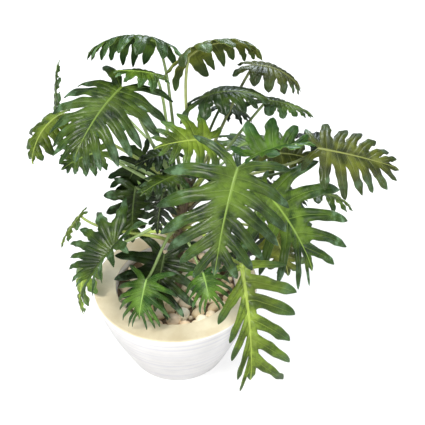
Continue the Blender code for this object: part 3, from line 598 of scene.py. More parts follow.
# %% The table of leaves
def leaf(name, base, heading, pitch, roll, bend, length, cut, root, **more):
    """One leaf: where its blade starts, how it points, and the height of its root on the trunk.

    pitch is the blade's rise at its base, bend how far it droops to its tip, roll its turn about
    the midrib. fold lifts both halves from the rib, cup curves them down, and sway pushes the
    middle of the stalk to its right, seen from the trunk. lift is how far the stalk comes to the
    blade from below, and tint names its colour. heart is how much longer the first lobes are than
    the longest, and taper how much shorter the last ones. skew sweeps the right lobes more towards
    the tip than the left ones, and stunted is the side whose first lobe stayed small, 1 for the
    right and -1 for the left.
    """
    given = dict(name=name, base=np.array(base), heading=heading, pitch=pitch, roll=roll, bend=bend,
                 length=length, cut=cut, root=root)
    usual = dict(fold=0, cup=10, droop=0.25, twist=12, sway=0.0, lift=0.5, tint="green",
                 heart=-0.13, taper=0.25, skew=0, stunted=0)
    return {**CUTS[cut], **given, **usual, **more}


LEAVES = [
    # the crown, from its left side over the top to the right
    leaf("leaf_01", (-0.090, 0.020, 0.720), -150, -10, -12, 35, 0.185, "broad", 0.497,
         girth=1.30, first=130, last=35, web=0.24, cup=18, droop=0.30, heart=-0.05),
    leaf("leaf_02", (-0.245, 0.060, 0.625), 20, 75, -50, 10, 0.125, "open", 0.469,
         lobes=5, girth=0.7, cup=0),
    leaf("leaf_03", (-0.215, 0.020, 0.662), -145, 5, -20, 80, 0.130, "open", 0.483,
         lobes=5, fold=-30, cup=20, tint="golden"),
    leaf("leaf_04", (-0.022, 0.110, 0.780), -100, 25, 32, 65, 0.155, "broad", 0.505,
         lobes=7, girth=1.10, first=145, last=25, web=0.36, cup=50, droop=0.35, heart=-0.14),
    leaf("leaf_05", (0.042, 0.060, 0.768), 85, 40, -40, 85, 0.165, "broad", 0.493,
         lobes=7, girth=0.85, first=150, last=30, web=0.40, cup=35, droop=0.35, heart=0.04, tint="olive"),
    leaf("leaf_06", (0.175, 0.100, 0.733), 100, 5, 0, 60, 0.120, "broad", 0.501,
         lobes=6, girth=1.0, first=140, last=30, web=0.45, cup=40, heart=-0.10, tint="olive"),
    leaf("leaf_07", (0.070, 0.050, 0.683), 100, 30, 0, 55, 0.143, "broad", 0.485,
         lobes=6, girth=0.92, first=145, last=30, web=0.40, cup=30, heart=0),
    leaf("leaf_08", (0.205, 0.080, 0.663), 95, -5, -5, 25, 0.108, "broad", 0.473,
         lobes=6, girth=0.80, first=150, last=30, web=0.45, cup=25, heart=0.20),
    leaf("leaf_09", (0.110, 0.140, 0.620), 75, -15, 5, 30, 0.085, "jagged", 0.465,
         lobes=5, tint="deep"),
    # the bright young leaf and the large ones in front
    leaf("leaf_10", (0.085, -0.045, 0.638), -115, 15, -30, 20, 0.115, "young", 0.491,
         lobes=6, girth=1.15, fill=0.62, fold=10, tint="golden"),
    leaf("leaf_11", (0.134, -0.185, 0.660), -160, -35, -20, 35, 0.195, "broad", 0.473,
         lobes=7, girth=1.42, web=0.20, fill=0.70, first=118, last=38, cup=20),
    # the right side
    leaf("leaf_12", (0.195, -0.040, 0.520), 135, -25, 25, 35, 0.205, "open", 0.423,
         lobes=6, girth=1.55, fill=0.54, first=115, last=30, cup=12, skew=14, stunted=-1),
    leaf("leaf_13", (0.315, 0.020, 0.580), 95, -8, 25, 10, 0.180, "open", 0.459,
         girth=1.05, web=0.34, fill=0.68, first=122, cup=15, lift=0.65, heart=-0.18, tint="olive"),
    leaf("leaf_14", (0.170, -0.040, 0.597), 65, 12, 10, 30, 0.150, "open", 0.479,
         lobes=5, girth=0.85, first=135, fold=45, cup=5, tint="fresh"),
    leaf("leaf_15", (0.340, 0.100, 0.555), -70, 10, -5, 20, 0.065, "jagged", 0.433,
         lobes=4, girth=1.2, tint="deep"),
    leaf("leaf_16", (0.215, 0.090, 0.525), 80, 0, 35, 30, 0.120, "broad", 0.445,
         lobes=6, cup=15, tint="olive"),
    leaf("leaf_17", (0.325, 0.080, 0.430), 100, 0, -15, 40, 0.105, "open", 0.407,
         lobes=5, tint="golden"),
    # the long leaf that hangs over the rim, and the low left side
    leaf("leaf_18", (0.145, -0.220, 0.465), 155, -65, 20, 25, 0.290, "open", 0.391,
         lobes=6, girth=0.80, web=0.17, fill=0.56, first=68, last=27, curl=14, cup=12,
         belly=0.60, blunt=2.2, taper=-0.08, skew=14, stunted=1, tint="golden"),
    leaf("leaf_19", (-0.120, -0.080, 0.400), -125, -35, 10, 15, 0.110, "jagged", 0.391,
         lobes=8, girth=1.9, first=145, last=30, fold=35, heart=0),
    leaf("leaf_20", (-0.190, -0.020, 0.315), -100, -60, -20, 30, 0.195, "open", 0.355,
         lobes=5, girth=0.6, last=46, lift=0.3, tint="golden"),
    # the small leaves over the pebbles, and the dark ones behind the stalks
    leaf("leaf_21", (-0.055, -0.120, 0.330), -165, -35, -5, 25, 0.085, "open", 0.380,
         girth=2.3, web=0.28, fill=0.56, first=120, last=25, fold=-10, cup=20, blunt=1.4, tint="fresh"),
    leaf("leaf_22", (0.070, -0.120, 0.350), 165, -15, 15, 25, 0.065, "open", 0.370,
         lobes=6, girth=2.4, web=0.30, fill=0.58, first=120, last=30, fold=-10, cup=20, blunt=1.4,
         tint="fresh"),
    leaf("leaf_23", (-0.020, -0.040, 0.335), -165, -40, -5, 20, 0.130, "broad", 0.305,
         lobes=6, girth=1.65, web=0.36, fill=0.62, first=120, fold=10, cup=5, tint="deep"),
    leaf("leaf_24", (-0.085, 0.045, 0.465), -145, -70, -55, 20, 0.150, "broad", 0.410,
         lobes=6, girth=0.85, cup=15, first=110, tint="deep"),
    leaf("leaf_25", (0.005, -0.020, 0.595), -105, -5, -5, 20, 0.080, "young", 0.481, tint="deep"),
    leaf("leaf_26", (-0.060, 0.070, 0.535), -100, -50, 85, 20, 0.120, "broad", 0.443,
         lobes=6, tint="deep"),
    leaf("leaf_27", (-0.145, 0.000, 0.585), -90, -15, -70, 25, 0.100, "jagged", 0.455,
         lobes=6, girth=0.95),
    leaf("leaf_28", (-0.025, 0.060, 0.730), -105, 20, 0, 20, 0.085, "jagged", 0.493,
         lobes=5, fold=-10),
    leaf("leaf_29", (0.020, -0.050, 0.560), -130, 5, 0, 20, 0.095, "young", 0.460, tint="green"),
    leaf("leaf_30", (0.175, -0.085, 0.400), -110, -40, -105, 30, 0.100, "jagged", 0.407,
         lobes=5, tint="deep"),
    leaf("leaf_31", (0.215, -0.030, 0.410), 110, -55, 75, 25, 0.145, "broad", 0.395,
         lobes=6, girth=1.1, tint="olive"),
    # the back, then one dark leaf in front of the trunk and a small one low on the left
    leaf("leaf_32", (-0.120, 0.180, 0.585), -35, 0, 0, 35, 0.190, "broad", 0.465,
         lobes=7, sway=0.02),
    leaf("leaf_33", (0.150, 0.210, 0.470), 35, -5, 5, 35, 0.190, "open", 0.449,
         lobes=6, girth=1.1),
    leaf("leaf_34", (0.020, 0.190, 0.405), 5, -10, 0, 35, 0.170, "broad", 0.400,
         lobes=6, tint="deep"),
    leaf("leaf_35", (-0.070, 0.200, 0.350), -25, -5, 0, 30, 0.160, "open", 0.412,
         lobes=6, sway=0.02),
    leaf("leaf_36", (0.210, 0.150, 0.385), 60, -10, 5, 30, 0.165, "open", 0.385,
         lobes=6, tint="deep"),
    leaf("leaf_37", (-0.015, -0.035, 0.505), -160, -50, -10, 25, 0.092, "open", 0.435,
         lobes=6, first=100, girth=0.85, tint="deep"),
    leaf("leaf_38", (-0.215, 0.020, 0.402), -120, -40, 20, 20, 0.090, "open", 0.338,
         lobes=4, girth=0.8, sway=-0.04, tint="golden"),
]
print("leaves:", len(LEAVES))

# %% [markdown]
# ## From a flat blade to a drooping one
# First a blade is worked out flat, with its midrib from (0, 0) to (0, 1). Then it is carried into space:
# the rib becomes an arc that droops, and each half curves down from it. Bending a finished mesh with a
# modifier could do the same, but a formula keeps every vein exactly on its lobe.

# %% The lobes of a flat blade
def smooth(share):
    """Ease from 0 to 1, flat at both ends."""
    share = np.clip(share, 0.0, 1.0)
    return share * share * (3.0 - 2.0 * share)


def direction(angle):
    """Flat unit vector at an angle from the midrib, in radians."""
    return np.stack([np.sin(angle), np.cos(angle)], axis=-1)


def number_of(row):
    """The leaf's number, which seeds its random draws."""
    return int(row["name"].split("_")[1])


def lobes_of(row):
    """The lobes of a blade whose midrib runs from (0, 0) to (0, 1), as a list of dictionaries.

    Each lobe has its two corners on the rib, its two sinus points, its root, angle and length.
    The lobes leave the rib more and more steeply, from the first that points back past the stalk
    to the last beside the tip, and those a third of the way up are the longest.
    """
    found = []
    count = row["lobes"]
    share = np.arange(count) / (count - 1)
    even = ROOT_SPREAD * share ** ROOT_CROWDING
    on_rib = np.concatenate([[0.0], (even[1:] + even[:-1]) / 2, [TERMINAL["root"]]])
    for side in (1, -1):
        draw = np.random.default_rng(2 * number_of(row) + (side > 0))
        root = even + ROOT_STAGGER * side * np.sin(np.pi * share)
        angle = row["first"] + (row["last"] - row["first"]) * share ** ANGLE_EASE
        angle = np.radians(angle + draw.uniform(-ANGLE_JITTER, ANGLE_JITTER, count) - row["skew"] * side)
        early = LONGEST + row["heart"] * (1 - share / LONGEST_AT) ** 2
        late = LONGEST - row["taper"] * ((share - LONGEST_AT) / (1 - LONGEST_AT)) ** 2
        length = np.where(share < LONGEST_AT, early, late) * row["girth"]
        length = length * (1 + draw.uniform(-LENGTH_JITTER, LENGTH_JITTER, count))
        length[0] = length[0] * (STUNTED if row["stunted"] == side else 1.0)
        droop = row["droop"] * draw.uniform(*DROOP_JITTER, count)
        twist = np.radians(row["twist"] * draw.uniform(-1, 1, count))
        notch = direction(np.radians(min(np.degrees(angle[0]) + HEART_TURN, NOTCH_LIMIT)))
        first_sinus = notch * row["web"] * length[0] * HEART_DEPTH
        reach = row["web"] * np.minimum(length[1:], length[:-1])
        between = direction((angle[1:] + angle[:-1]) / 2) * reach[:, None]
        between[:, 1] += on_rib[1:-1]
        last_sinus = direction(angle[-1] * LAST_SINUS_TURN) * LAST_SINUS + (0.0, TERMINAL["root"])
        sinus = np.vstack([first_sinus, between, last_sinus]) * (side, 1)
        room = np.abs(np.cross(sinus[1:] - sinus[:-1], direction(angle * side)))
        for k in range(count):
            found.append(dict(
                side=side, start=(0.0, on_rib[k]), end=(0.0, on_rib[k + 1]),
                sinus=sinus[k], next_sinus=sinus[k + 1],
                root=np.array([0.0, root[k]]), angle=angle[k] * side, length=length[k],
                web=row["web"] * WEB_MARGIN, belly=row["belly"], blunt=row["blunt"],
                width=row["fill"] * room[k],
                curl=np.radians(row["curl"]) * side, droop=droop[k], twist=twist[k]))
    right, left = found[count - 1]["next_sinus"], found[-1]["next_sinus"]
    found.append(dict(
        side=0, sinus=left, next_sinus=right, root=np.array([0.0, TERMINAL["root"]]), angle=0.0,
        length=TERMINAL["length"], web=0.0, width=row["fill"] * TERMINAL["width"], belly=TERMINAL["belly"],
        blunt=TERMINAL["blunt"], curl=0.0, droop=row["droop"], twist=0.0))
    return found


def lobe_centre(lobe, along):
    """Point and heading on a free lobe's centre line, which turns evenly by its curl."""
    free = lobe["length"] * (1 - lobe["web"])
    start = lobe["root"] + direction(lobe["angle"]) * lobe["length"] * lobe["web"]
    turn = lobe["curl"] if abs(lobe["curl"]) > LEAST_TURN else LEAST_TURN
    heading = lobe["angle"] - turn * along
    across = (np.cos(heading) - np.cos(lobe["angle"])) / turn
    ahead = (np.sin(lobe["angle"]) - np.sin(heading)) / turn
    return start + free * np.stack([across, ahead], axis=-1), heading


def lobe_half_width(lobe, along):
    """Half width of a free lobe: a waist at the sinus, a belly, and a rounded tip."""
    full = BELLY_SHARE * lobe["width"]
    waist = WAIST_SHARE * lobe["width"]
    swell = waist + (full - waist) * smooth(along / lobe["belly"])
    past = np.clip((along - lobe["belly"]) / (1 - lobe["belly"]), 0, 1)
    tip = full * (1 - past ** lobe["blunt"]) ** TIP_SHARPNESS
    return np.where(along < lobe["belly"], swell, tip)


def lobe_lift(row, lobe, along, across):
    """How far a free lobe's point leaves the blade's surface: it droops to its tip, and twists."""
    drop = -DROOP_DEPTH * lobe["droop"] * lobe["length"] * along ** 2
    turn = across * lobe_half_width(lobe, np.minimum(along, TWIST_END)) * np.sin(lobe["twist"] * along)
    return row["length"] * (drop + turn)


print("lobes of", LEAVES[10]["name"] + ":", len(lobes_of(LEAVES[10])))

# %% Into space
def midrib(row, along):
    """Point, direction, right-hand vector and normal on the midrib, an arc that droops by its bend."""
    heading, pitch, bend = np.radians([row["heading"], row["pitch"], max(row["bend"], LEAST_BEND)])
    ahead = np.array([np.sin(heading), np.cos(heading), 0.0])
    right = np.array([np.cos(heading), -np.sin(heading), 0.0])
    up = np.array([0.0, 0.0, 1.0])
    past = np.asarray(along, float)[..., None]
    rise = pitch - bend * np.maximum(past, 0)
    point = ahead * (np.sin(pitch) - np.sin(rise)) / bend + up * (np.cos(rise) - np.cos(pitch)) / bend
    point = point + np.minimum(past, 0) * (ahead * np.cos(pitch) + up * np.sin(pitch))
    tangent = ahead * np.cos(rise) + up * np.sin(rise)
    normal = up * np.cos(rise) - ahead * np.sin(rise)
    roll = np.radians(row["roll"])
    return (row["base"] + row["length"] * point, tangent,
            right * np.cos(roll) - normal * np.sin(roll), normal * np.cos(roll) + right * np.sin(roll))


def in_space(row, flat, lift):
    """Points of the flat blade, in shares of its length, carried onto the curved leaf.

    Each half turns up from the rib by the fold and curves down by the cup, as an arc across.
    """
    flat = np.asarray(flat, float)
    point, _, right, normal = midrib(row, flat[..., 1])
    fold = np.radians(row["fold"])
    cup = np.radians(max(row["cup"], LEAST_BEND)) / CUP_REACH
    reach, side = np.abs(flat[..., 0]), np.sign(flat[..., 0])
    lean = fold - cup * reach
    out = (np.sin(fold) - np.sin(lean)) / cup
    rise = (np.cos(lean) - np.cos(fold)) / cup
    lift = np.asarray(lift, float)
    out = side * (out * row["length"] - np.sin(lean) * lift)
    rise = rise * row["length"] + np.cos(lean) * lift
    return point + right * out[..., None] + normal * rise[..., None]


lowest_tip = min(midrib(row, 1.0)[0][2] for row in LEAVES)
print("the lowest leaf tip is", round(lowest_tip, 3), "m up")

# %% [markdown]
# ## A lobe as a grid
# Each lobe is one grid. Its first rows cross the web that joins it to its neighbours, from its stretch of
# the rib to the bottoms of the two slits, and the other rows cross the free lobe out to its tip. Both
# neighbours work out the same points on the line that they share, so they can be made one afterwards.
# The bottom of a slit is round, because each lobe's edge leaves it along a quarter circle.
#
# The lobe isn't flat. It swells up between its veins, its edges turn down and wave, and it droops and
# twists to its tip. Each point also gets its maps. "lobe" is its place along and across the lobe, "line"
# its distances from the rib and the vein, "leaf" how near the edge it is, with the shade of the whole
# blade, and "spread" how far out on the lobe.

# %% Rows and columns of a lobe
COLUMNS = np.array([-1.0, -0.88, -0.62, -0.32, -0.09, 0.0, 0.09, 0.32, 0.62, 0.88, 1.0])
MIDDLE = len(COLUMNS) // 2
WEB_ROWS = np.array([0.0, 0.035, 0.11, 0.25, 0.45, 0.70, 1.0])
FREE_STEPS = 19
FREE_ROWS = (1 - np.cos(np.pi * np.arange(1, FREE_STEPS + 1) / FREE_STEPS)) / 2
FILLET_RANGE = (0.04, 0.25)   # length of the slit's quarter circle, in shares of the free lobe


def free_rows(lobe, across, half):
    """Rows of a free lobe, square to its centre line, and the line between the two slits below them.

    The first rows are pulled over to the slits, by less and less along a quarter circle.
    """
    foot = np.array([0.0])
    centre, heading = lobe_centre(lobe, FREE_ROWS)
    first_centre, first_heading = lobe_centre(lobe, foot)
    arm = direction(heading + np.pi / 2)
    first_arm = direction(first_heading + np.pi / 2)[0]
    first_row = first_centre[0] + (across * lobe_half_width(lobe, foot))[:, None] * first_arm
    pull = np.where(COLUMNS[:, None] > 0, lobe["next_sinus"] - first_row[-1], lobe["sinus"] - first_row[0])
    pull = pull * COLUMNS[:, None] ** 2
    fillet = np.clip(np.abs(pull).max() / (lobe["length"] * (1 - lobe["web"])), *FILLET_RANGE)
    fall = 1 - np.sqrt(1 - (1 - np.clip(FREE_ROWS / fillet, 0, 1)) ** 2)
    chord = first_row + pull
    chord[0], chord[-1] = lobe["sinus"], lobe["next_sinus"]
    return centre[:, None] + (across * half)[..., None] * arm[:, None] + pull * fall[:, None, None], chord


def web_rows(lobe, chord):
    """Rows of a lobe's web, from the rib to the line between the slits.

    Its columns run straight at the edges and bow in between, so that the middle one ends along the lobe.
    """
    start, end = (np.array(lobe.get(key, lobe["root"])) for key in ("start", "end"))
    rib = start + (end - start) * (COLUMNS[:, None] + 1) / 2
    way = chord[MIDDLE] - rib[MIDDLE]
    bow = (direction(lobe["angle"]) * np.linalg.norm(way) - way) * (1 - COLUMNS[:, None] ** 2)
    share = WEB_ROWS[:, None, None]
    return rib + (chord - rib) * share + bow * share ** 2 * (share - 1)


print("a lobe has", (len(WEB_ROWS) + FREE_STEPS) * len(COLUMNS), "points")

# %% Maps of a lobe
RIB_HALF_WIDTH = 0.0032       # on a blade of USUAL_LENGTH, as are the veins
VEIN_HALF_WIDTH = 0.0011
USUAL_LENGTH = 0.2
RIB_NARROWING = 0.75          # share of its width that the rib has lost at the leaf's tip
VEIN_TAPER = 1.05             # a vein's width is this minus its share of the way along the lobe
MARGIN_GROWTH = 10            # how late along a lobe its tip counts as margin
MARGIN_FOOT = 0.08            # share of the free lobe in which the margin's wear comes up
TO_MM = 1000.0


def paired(first, second):
    """A map of two values, each spread over the whole grid."""
    return np.stack(np.broadcast_arrays(first, second), axis=-1)


def lobe_maps(row, lobe, flat):
    """What a lobe's points carry for the finish: four maps of two values each."""
    share = np.concatenate([lobe["web"] * WEB_ROWS, lobe["web"] + (1 - lobe["web"]) * FREE_ROWS])[:, None]
    along_mm = share * (row["length"] * lobe["length"] * TO_MM)
    off_vein = np.linalg.norm(flat - flat[:, MIDDLE:MIDDLE + 1], axis=-1) * row["length"]
    off_rib = np.hypot(flat[..., 0], np.minimum(flat[..., 1], 0)) * row["length"]
    size = np.sqrt(row["length"] / USUAL_LENGTH)
    rib_half = RIB_HALF_WIDTH * size * (1 - RIB_NARROWING * np.clip(flat[..., 1], 0, 1))
    vein_half = VEIN_HALF_WIDTH * size * (VEIN_TAPER - share)
    free = FREE_ROWS[:, None]
    margin = np.maximum(np.abs(COLUMNS), free ** MARGIN_GROWTH) * smooth(free / MARGIN_FOOT)
    margin = np.concatenate([np.zeros((len(WEB_ROWS), len(COLUMNS))), margin])
    return {
        "lobe": paired(along_mm, off_vein * TO_MM),
        "line": paired(off_rib / rib_half, off_vein / vein_half),
        "leaf": paired(margin, 0.0),
        "spread": paired(share + 0 * margin, 0.0),
    }


print("a rib of", 2 * RIB_HALF_WIDTH * TO_MM, "mm on a blade of", USUAL_LENGTH, "m")

# %% Relief of a lobe
EDGE_WAVE = {"broad": 0.06, "open": 0.09, "jagged": 0.15, "young": 0.11}   # of the half width
EDGE_WAVES = (1.6, 2.6)       # range of waves along an edge of the outline
PLEAT = 0.060                 # how high the blade swells between veins, against a lobe's width
PLEAT_FADE = 0.7              # share of that swell that is gone at the tip
EDGE_CURL = 0.20              # how far a lobe's edges turn down, against its half width
RUFFLE = 0.22                 # and how far they wave up and down
RUFFLE_WAVES = 1.7
RUFFLE_START = 0.25           # curl and ruffle are full from this share of the free lobe on
LEAF_WAVE = 0.035             # slow swell of a whole half blade, against its width
LEAF_WAVES = ((1.0, 7.0, 3.0), (0.5, 13.0, 0.0))   # strength, and radians along and across the blade
WAVE_REACH = 0.6              # how far out it grows, in lengths of the blade


def slow_wave(row, flat, phases):
    """Swell of a half blade: sines along it, nothing at the rib and most at the outer edge."""
    out, along = flat[..., 0], flat[..., 1]
    waves = sum(strength * np.sin(ahead * along + aside * out + phase)
                for (strength, ahead, aside), phase in zip(LEAF_WAVES, phases))
    return row["length"] * LEAF_WAVE * np.minimum(np.abs(out), WAVE_REACH) * waves


def lobe_grid(row, lobe, draw):
    """Points, lifts and maps of one lobe, by row from the rib to the tip and column across it."""
    phases = draw.uniform(0, FULL_TURN, 4)
    waves = draw.uniform(*EDGE_WAVES, 2)
    is_high = COLUMNS > 0
    across = COLUMNS * (1 if lobe["side"] == 0 else -lobe["side"])
    along = FREE_ROWS[:, None]
    wave = np.sin(FULL_TURN * np.where(is_high, *waves) * along + np.where(is_high, *phases[:2]))
    calm = np.sqrt(np.clip(np.sin(np.pi * along), 0, 1))
    half = lobe_half_width(lobe, along) * (1 + EDGE_WAVE[row["cut"]] * wave * calm)
    free, chord = free_rows(lobe, across, half)
    flat = np.concatenate([web_rows(lobe, chord), free])

    width = np.linalg.norm(chord[-1] - chord[0])
    swell = PLEAT * width * 4 * np.abs(COLUMNS) * (1 - np.abs(COLUMNS))
    web_lift = row["length"] * swell * smooth(WEB_ROWS[:, None] * 2)
    ruffle = RUFFLE * COLUMNS ** 2 * np.sin(FULL_TURN * RUFFLE_WAVES * along + np.where(is_high, *phases[2:]))
    edge = smooth(along / RUFFLE_START) * half * (ruffle - EDGE_CURL * np.abs(COLUMNS) ** 3)
    free_lift = row["length"] * (swell * (1 - PLEAT_FADE * along) + edge)
    free_lift = free_lift + lobe_lift(row, lobe, along, across)
    return flat, np.concatenate([web_lift, free_lift]), lobe_maps(row, lobe, flat)


print("an edge waves by", max(EDGE_WAVE.values()), "of a half width at most")

# %% [markdown]
# ## The blade
# The lobes are laid side by side, points in the same place are made one, and the sheet gets its
# thickness: a second sheet a millimetre below, turned over, and a rim that joins the two. Each blade is
# also a little lighter or darker than its neighbours, by a draw and, for some, by a listed factor that is
# partly painted light and shade.

# %% Blade
BLADE_SEED = 1000
SHADE_RANGE = (0.86, 1.14)
PAINTED_LIGHT_AND_TONE = {                    # partly painted light and shade, partly their own tone
    "leaf_01": 0.92, "leaf_03": 0.80, "leaf_04": 1.15, "leaf_05": 1.30, "leaf_06": 0.80,
    "leaf_07": 0.55, "leaf_12": 1.50, "leaf_13": 0.85, "leaf_15": 0.60, "leaf_16": 1.45,
    "leaf_17": 0.75, "leaf_18": 0.98, "leaf_20": 1.50, "leaf_23": 1.15, "leaf_24": 1.40,
    "leaf_25": 1.45, "leaf_26": 1.40, "leaf_28": 1.50, "leaf_29": 0.80, "leaf_30": 1.50,
    "leaf_31": 1.65, "leaf_37": 0.75,
}


def open_edges(faces, count):
    """Edges that only one face has, each in that face's direction."""
    a, b = faces.ravel(), np.roll(faces, -1, axis=1).ravel()
    kept = a != b
    a, b = a[kept], b[kept]
    lonely = ~np.isin(a * count + b, b * count + a)
    return a[lonely], b[lonely]


def blade(row):
    """Points, faces, side of each face and maps of a leaf's blade, as a closed thin shell, and its shade."""
    draw = np.random.default_rng(BLADE_SEED + number_of(row))
    phases = draw.uniform(0, FULL_TURN, 2)
    shade = draw.uniform(*SHADE_RANGE) * PAINTED_LIGHT_AND_TONE.get(row["name"], 1.0)
    grids = [lobe_grid(row, lobe, draw) for lobe in lobes_of(row)]
    rows, columns = grids[0][1].shape
    one = grid_faces(rows, columns)
    faces = []
    for k, (points, _, _) in enumerate(grids):
        corner = points.reshape(-1, 2)[one]
        area = np.cross(corner[:, 2] - corner[:, 0], corner[:, 3] - corner[:, 1]).sum()
        faces.append((one if area > 0 else one[:, ::-1]) + k * rows * columns)
    flat = np.concatenate([g[0].reshape(-1, 2) for g in grids])
    lift = np.concatenate([g[1].reshape(-1) for g in grids])
    maps = {label: np.concatenate([g[2][label].reshape(-1, 2) for g in grids]) for label in grids[0][2]}
    maps["leaf"][:, 1] = shade
    first, merged, grid = weld(flat, np.concatenate(faces))
    flat, lift = flat[first], lift[first]
    middle = in_space(row, flat, lift + slow_wave(row, flat, phases))
    normal = normals_of(middle, merged)
    count = len(middle)
    points = np.concatenate([middle + normal * BLADE / 2, middle - normal * BLADE / 2])
    a, b = open_edges(merged, count)
    rim = np.stack([a, a + count, b + count, b], axis=1)
    all_faces = np.concatenate([merged, merged[:, ::-1] + count, rim])
    corners = np.concatenate([grid, grid[:, ::-1], first[np.stack([a, a, b, b], axis=1)]])
    slots = np.repeat([0, 1, 1], [len(merged), len(merged), len(rim)])
    return points, all_faces, slots, {k: corner_values(all_faces, m[corners]) for k, m in maps.items()}, shade


# %% [markdown]
# ## The stalk and the rib
# The stalk is a tube along a curve: out of the trunk, up and over, and into the blade. It goes on under
# the blade as the midrib, half sunk in it, and gets thinner to the leaf's tip. A curve object with a
# bevel could do that too, but here each ring also needs its place along the stalk for the colours.

# %% Stalk
STALK_RINGS = 22
RIB_RINGS = 20
TUBE_SIDES = 10
RIB_END = 0.97                # share of the midrib that the tube runs along
RIB_TIP_RADIUS = 0.0005
RIB_FINENESS = 1.5            # above 1, the rib gets thin early
RIB_PROUD = 0.0008            # how far the rib stands above the blade
ROOT_FLARE = 1.35             # how much wider the stalk's foot is than the stalk
FLARE_FADE = 0.03             # share of the stalk over which that dies down
TRUNK_TILT_STEP = 0.001       # height over which the trunk's lean is measured


def trunk_axis(height):
    """Centre of the trunk at a height: upright in the soil, then leaning more and more."""
    share = np.clip((np.asarray(height, float) - POT_HEIGHT) / (TRUNK_TOP - POT_HEIGHT), 0, None)
    lean = share ** LEAN_GROWTH
    return np.stack([TRUNK_LEAN[0] * lean, TRUNK_LEAN[1] * lean, np.asarray(height, float)], axis=-1)


def trunk_radius(height):
    """Radius of the trunk, which tapers above the lowest stalk."""
    share = np.clip((np.asarray(height, float) - SCAR_TOP) / TAPER_LENGTH, 0, 1)
    return TRUNK_RADIUS * (1 - TRUNK_TAPER * share)


def stalk_line(row):
    """Points and radii of a stalk and its midrib, and each point's share of the way to the blade.

    The stalk is a cubic Bezier curve from its socket on the trunk to the blade's start. Sums of its
    four points, each weighted by powers of the share gone and the share to come, give the points on it.
    """
    foot = trunk_axis(row["root"])
    lean = unit(trunk_axis(row["root"] + TRUNK_TILT_STEP) - foot)
    out = (row["base"] - foot) * (1, 1, 0)
    out = unit(out - lean * (out @ lean))
    start = foot + out * (trunk_radius(row["root"]) + 2 * GAP)
    span = np.linalg.norm(row["base"] - start)
    _, tangent, _, under = midrib(row, 0.0)
    leave = unit(out + (0, 0, STALK_RISE))
    arrive = (row["base"] - start) / span * (1 - row["lift"]) + STALK_FOLLOW * tangent
    arrive = unit(arrive + (0, 0, row["lift"]))
    aside = np.array([out[1], -out[0], 0.0]) * row["sway"]
    socket = start + out * SOCKET
    near = socket + leave * STALK_LEAVE * span + aside
    far = row["base"] - arrive * STALK_ARRIVE * span + aside
    neck = row["base"] - under * NECK_SINK
    step = np.linspace(0, 1, STALK_RINGS)
    t = step[:, None]
    curve = (1 - t) ** 3 * socket + 3 * (1 - t) ** 2 * t * near + 3 * (1 - t) * t ** 2 * far + t ** 3 * neck
    radius = PETIOLE_NECK + (PETIOLE_ROOT - PETIOLE_NECK) * (1 - step) ** 2
    radius = radius * (1 + (ROOT_FLARE - 1) * np.exp(-step / FLARE_FADE))
    up_rib = np.linspace(0, RIB_END, RIB_RINGS + 1)[1:]
    point, _, _, normal = midrib(row, up_rib)
    rib_radius = RIB_TIP_RADIUS + (PETIOLE_NECK - RIB_TIP_RADIUS) * (1 - up_rib) ** RIB_FINENESS
    rib = point - normal * (rib_radius - RIB_PROUD - BLADE / 2)[:, None]
    line = np.concatenate([[start], curve, rib])
    radii = np.concatenate([[radius[0]], radius, rib_radius])
    share = np.concatenate([[0.0], step, np.ones(RIB_RINGS)])
    return line, radii, share


def turning_frames(line):
    """Two unit vectors at each point of a line, square to it, that turn as little as they can on the way.

    The line has to start nearly level, as every stalk does.
    """
    ahead = np.gradient(line, axis=0)
    ahead /= np.linalg.norm(ahead, axis=1)[:, None]
    across = np.cross(ahead[0], (0.0, 0.0, 1.0))
    frames = []
    for forward in ahead:
        across = unit(across - forward * (across @ forward))
        frames.append(across)
    across = np.array(frames)
    return across, np.cross(ahead, across)


def ends_twice(values):
    """The same rows with the first and the last one repeated."""
    return np.concatenate([values[:1], values, values[-1:]])


def tube(line, radii, sides):
    """Grid of a closed tube: a circle of each radius round each point, its two ends drawn to a point."""
    line, across, other = (ends_twice(v) for v in (line, *turning_frames(line)))
    radii = np.concatenate([[0.0], radii, [0.0]])
    angle = ring(sides)[None, :, None]
    circle = np.cos(angle) * across[:, None] + np.sin(angle) * other[:, None]
    return line[:, None] + radii[:, None, None] * circle


def stalk(row, shade):
    """Points, faces and maps of a leaf's stalk and rib."""
    line, radii, share = stalk_line(row)
    points = tube(line, radii, TUBE_SIDES)
    rows, columns = points.shape[:2]
    gone = np.concatenate([[0.0], np.cumsum(np.linalg.norm(np.diff(line, axis=0), axis=1))])
    gone, share = (ends_twice(v)[:, None] for v in (gone, share))
    around = np.arange(columns) / (columns - 1) * FULL_TURN * PETIOLE_NECK
    empty = np.zeros((rows, columns))
    maps = {
        "lobe": paired(gone * TO_MM, around * TO_MM),
        "line": paired(empty, 0.0),
        "leaf": paired(share, shade + empty),
        "spread": paired(empty, 0.0),
    }
    points = points.reshape(-1, 3)
    first, merged, grid = weld(points, grid_faces(rows, columns))
    return points[first], merged, {k: corner_values(merged, m.reshape(-1, 2)[grid]) for k, m in maps.items()}


longest = max(LEAVES, key=lambda row: np.linalg.norm(row["base"] - trunk_axis(row["root"])))
print("the longest stalk is that of", longest["name"])

# %% [markdown]
# ## All the leaves
# Each leaf is one piece: its blade, in two finishes for its two sides, and its stalk in a third. A blade
# could be made once and copied, but then its neighbours would show that they are the same.

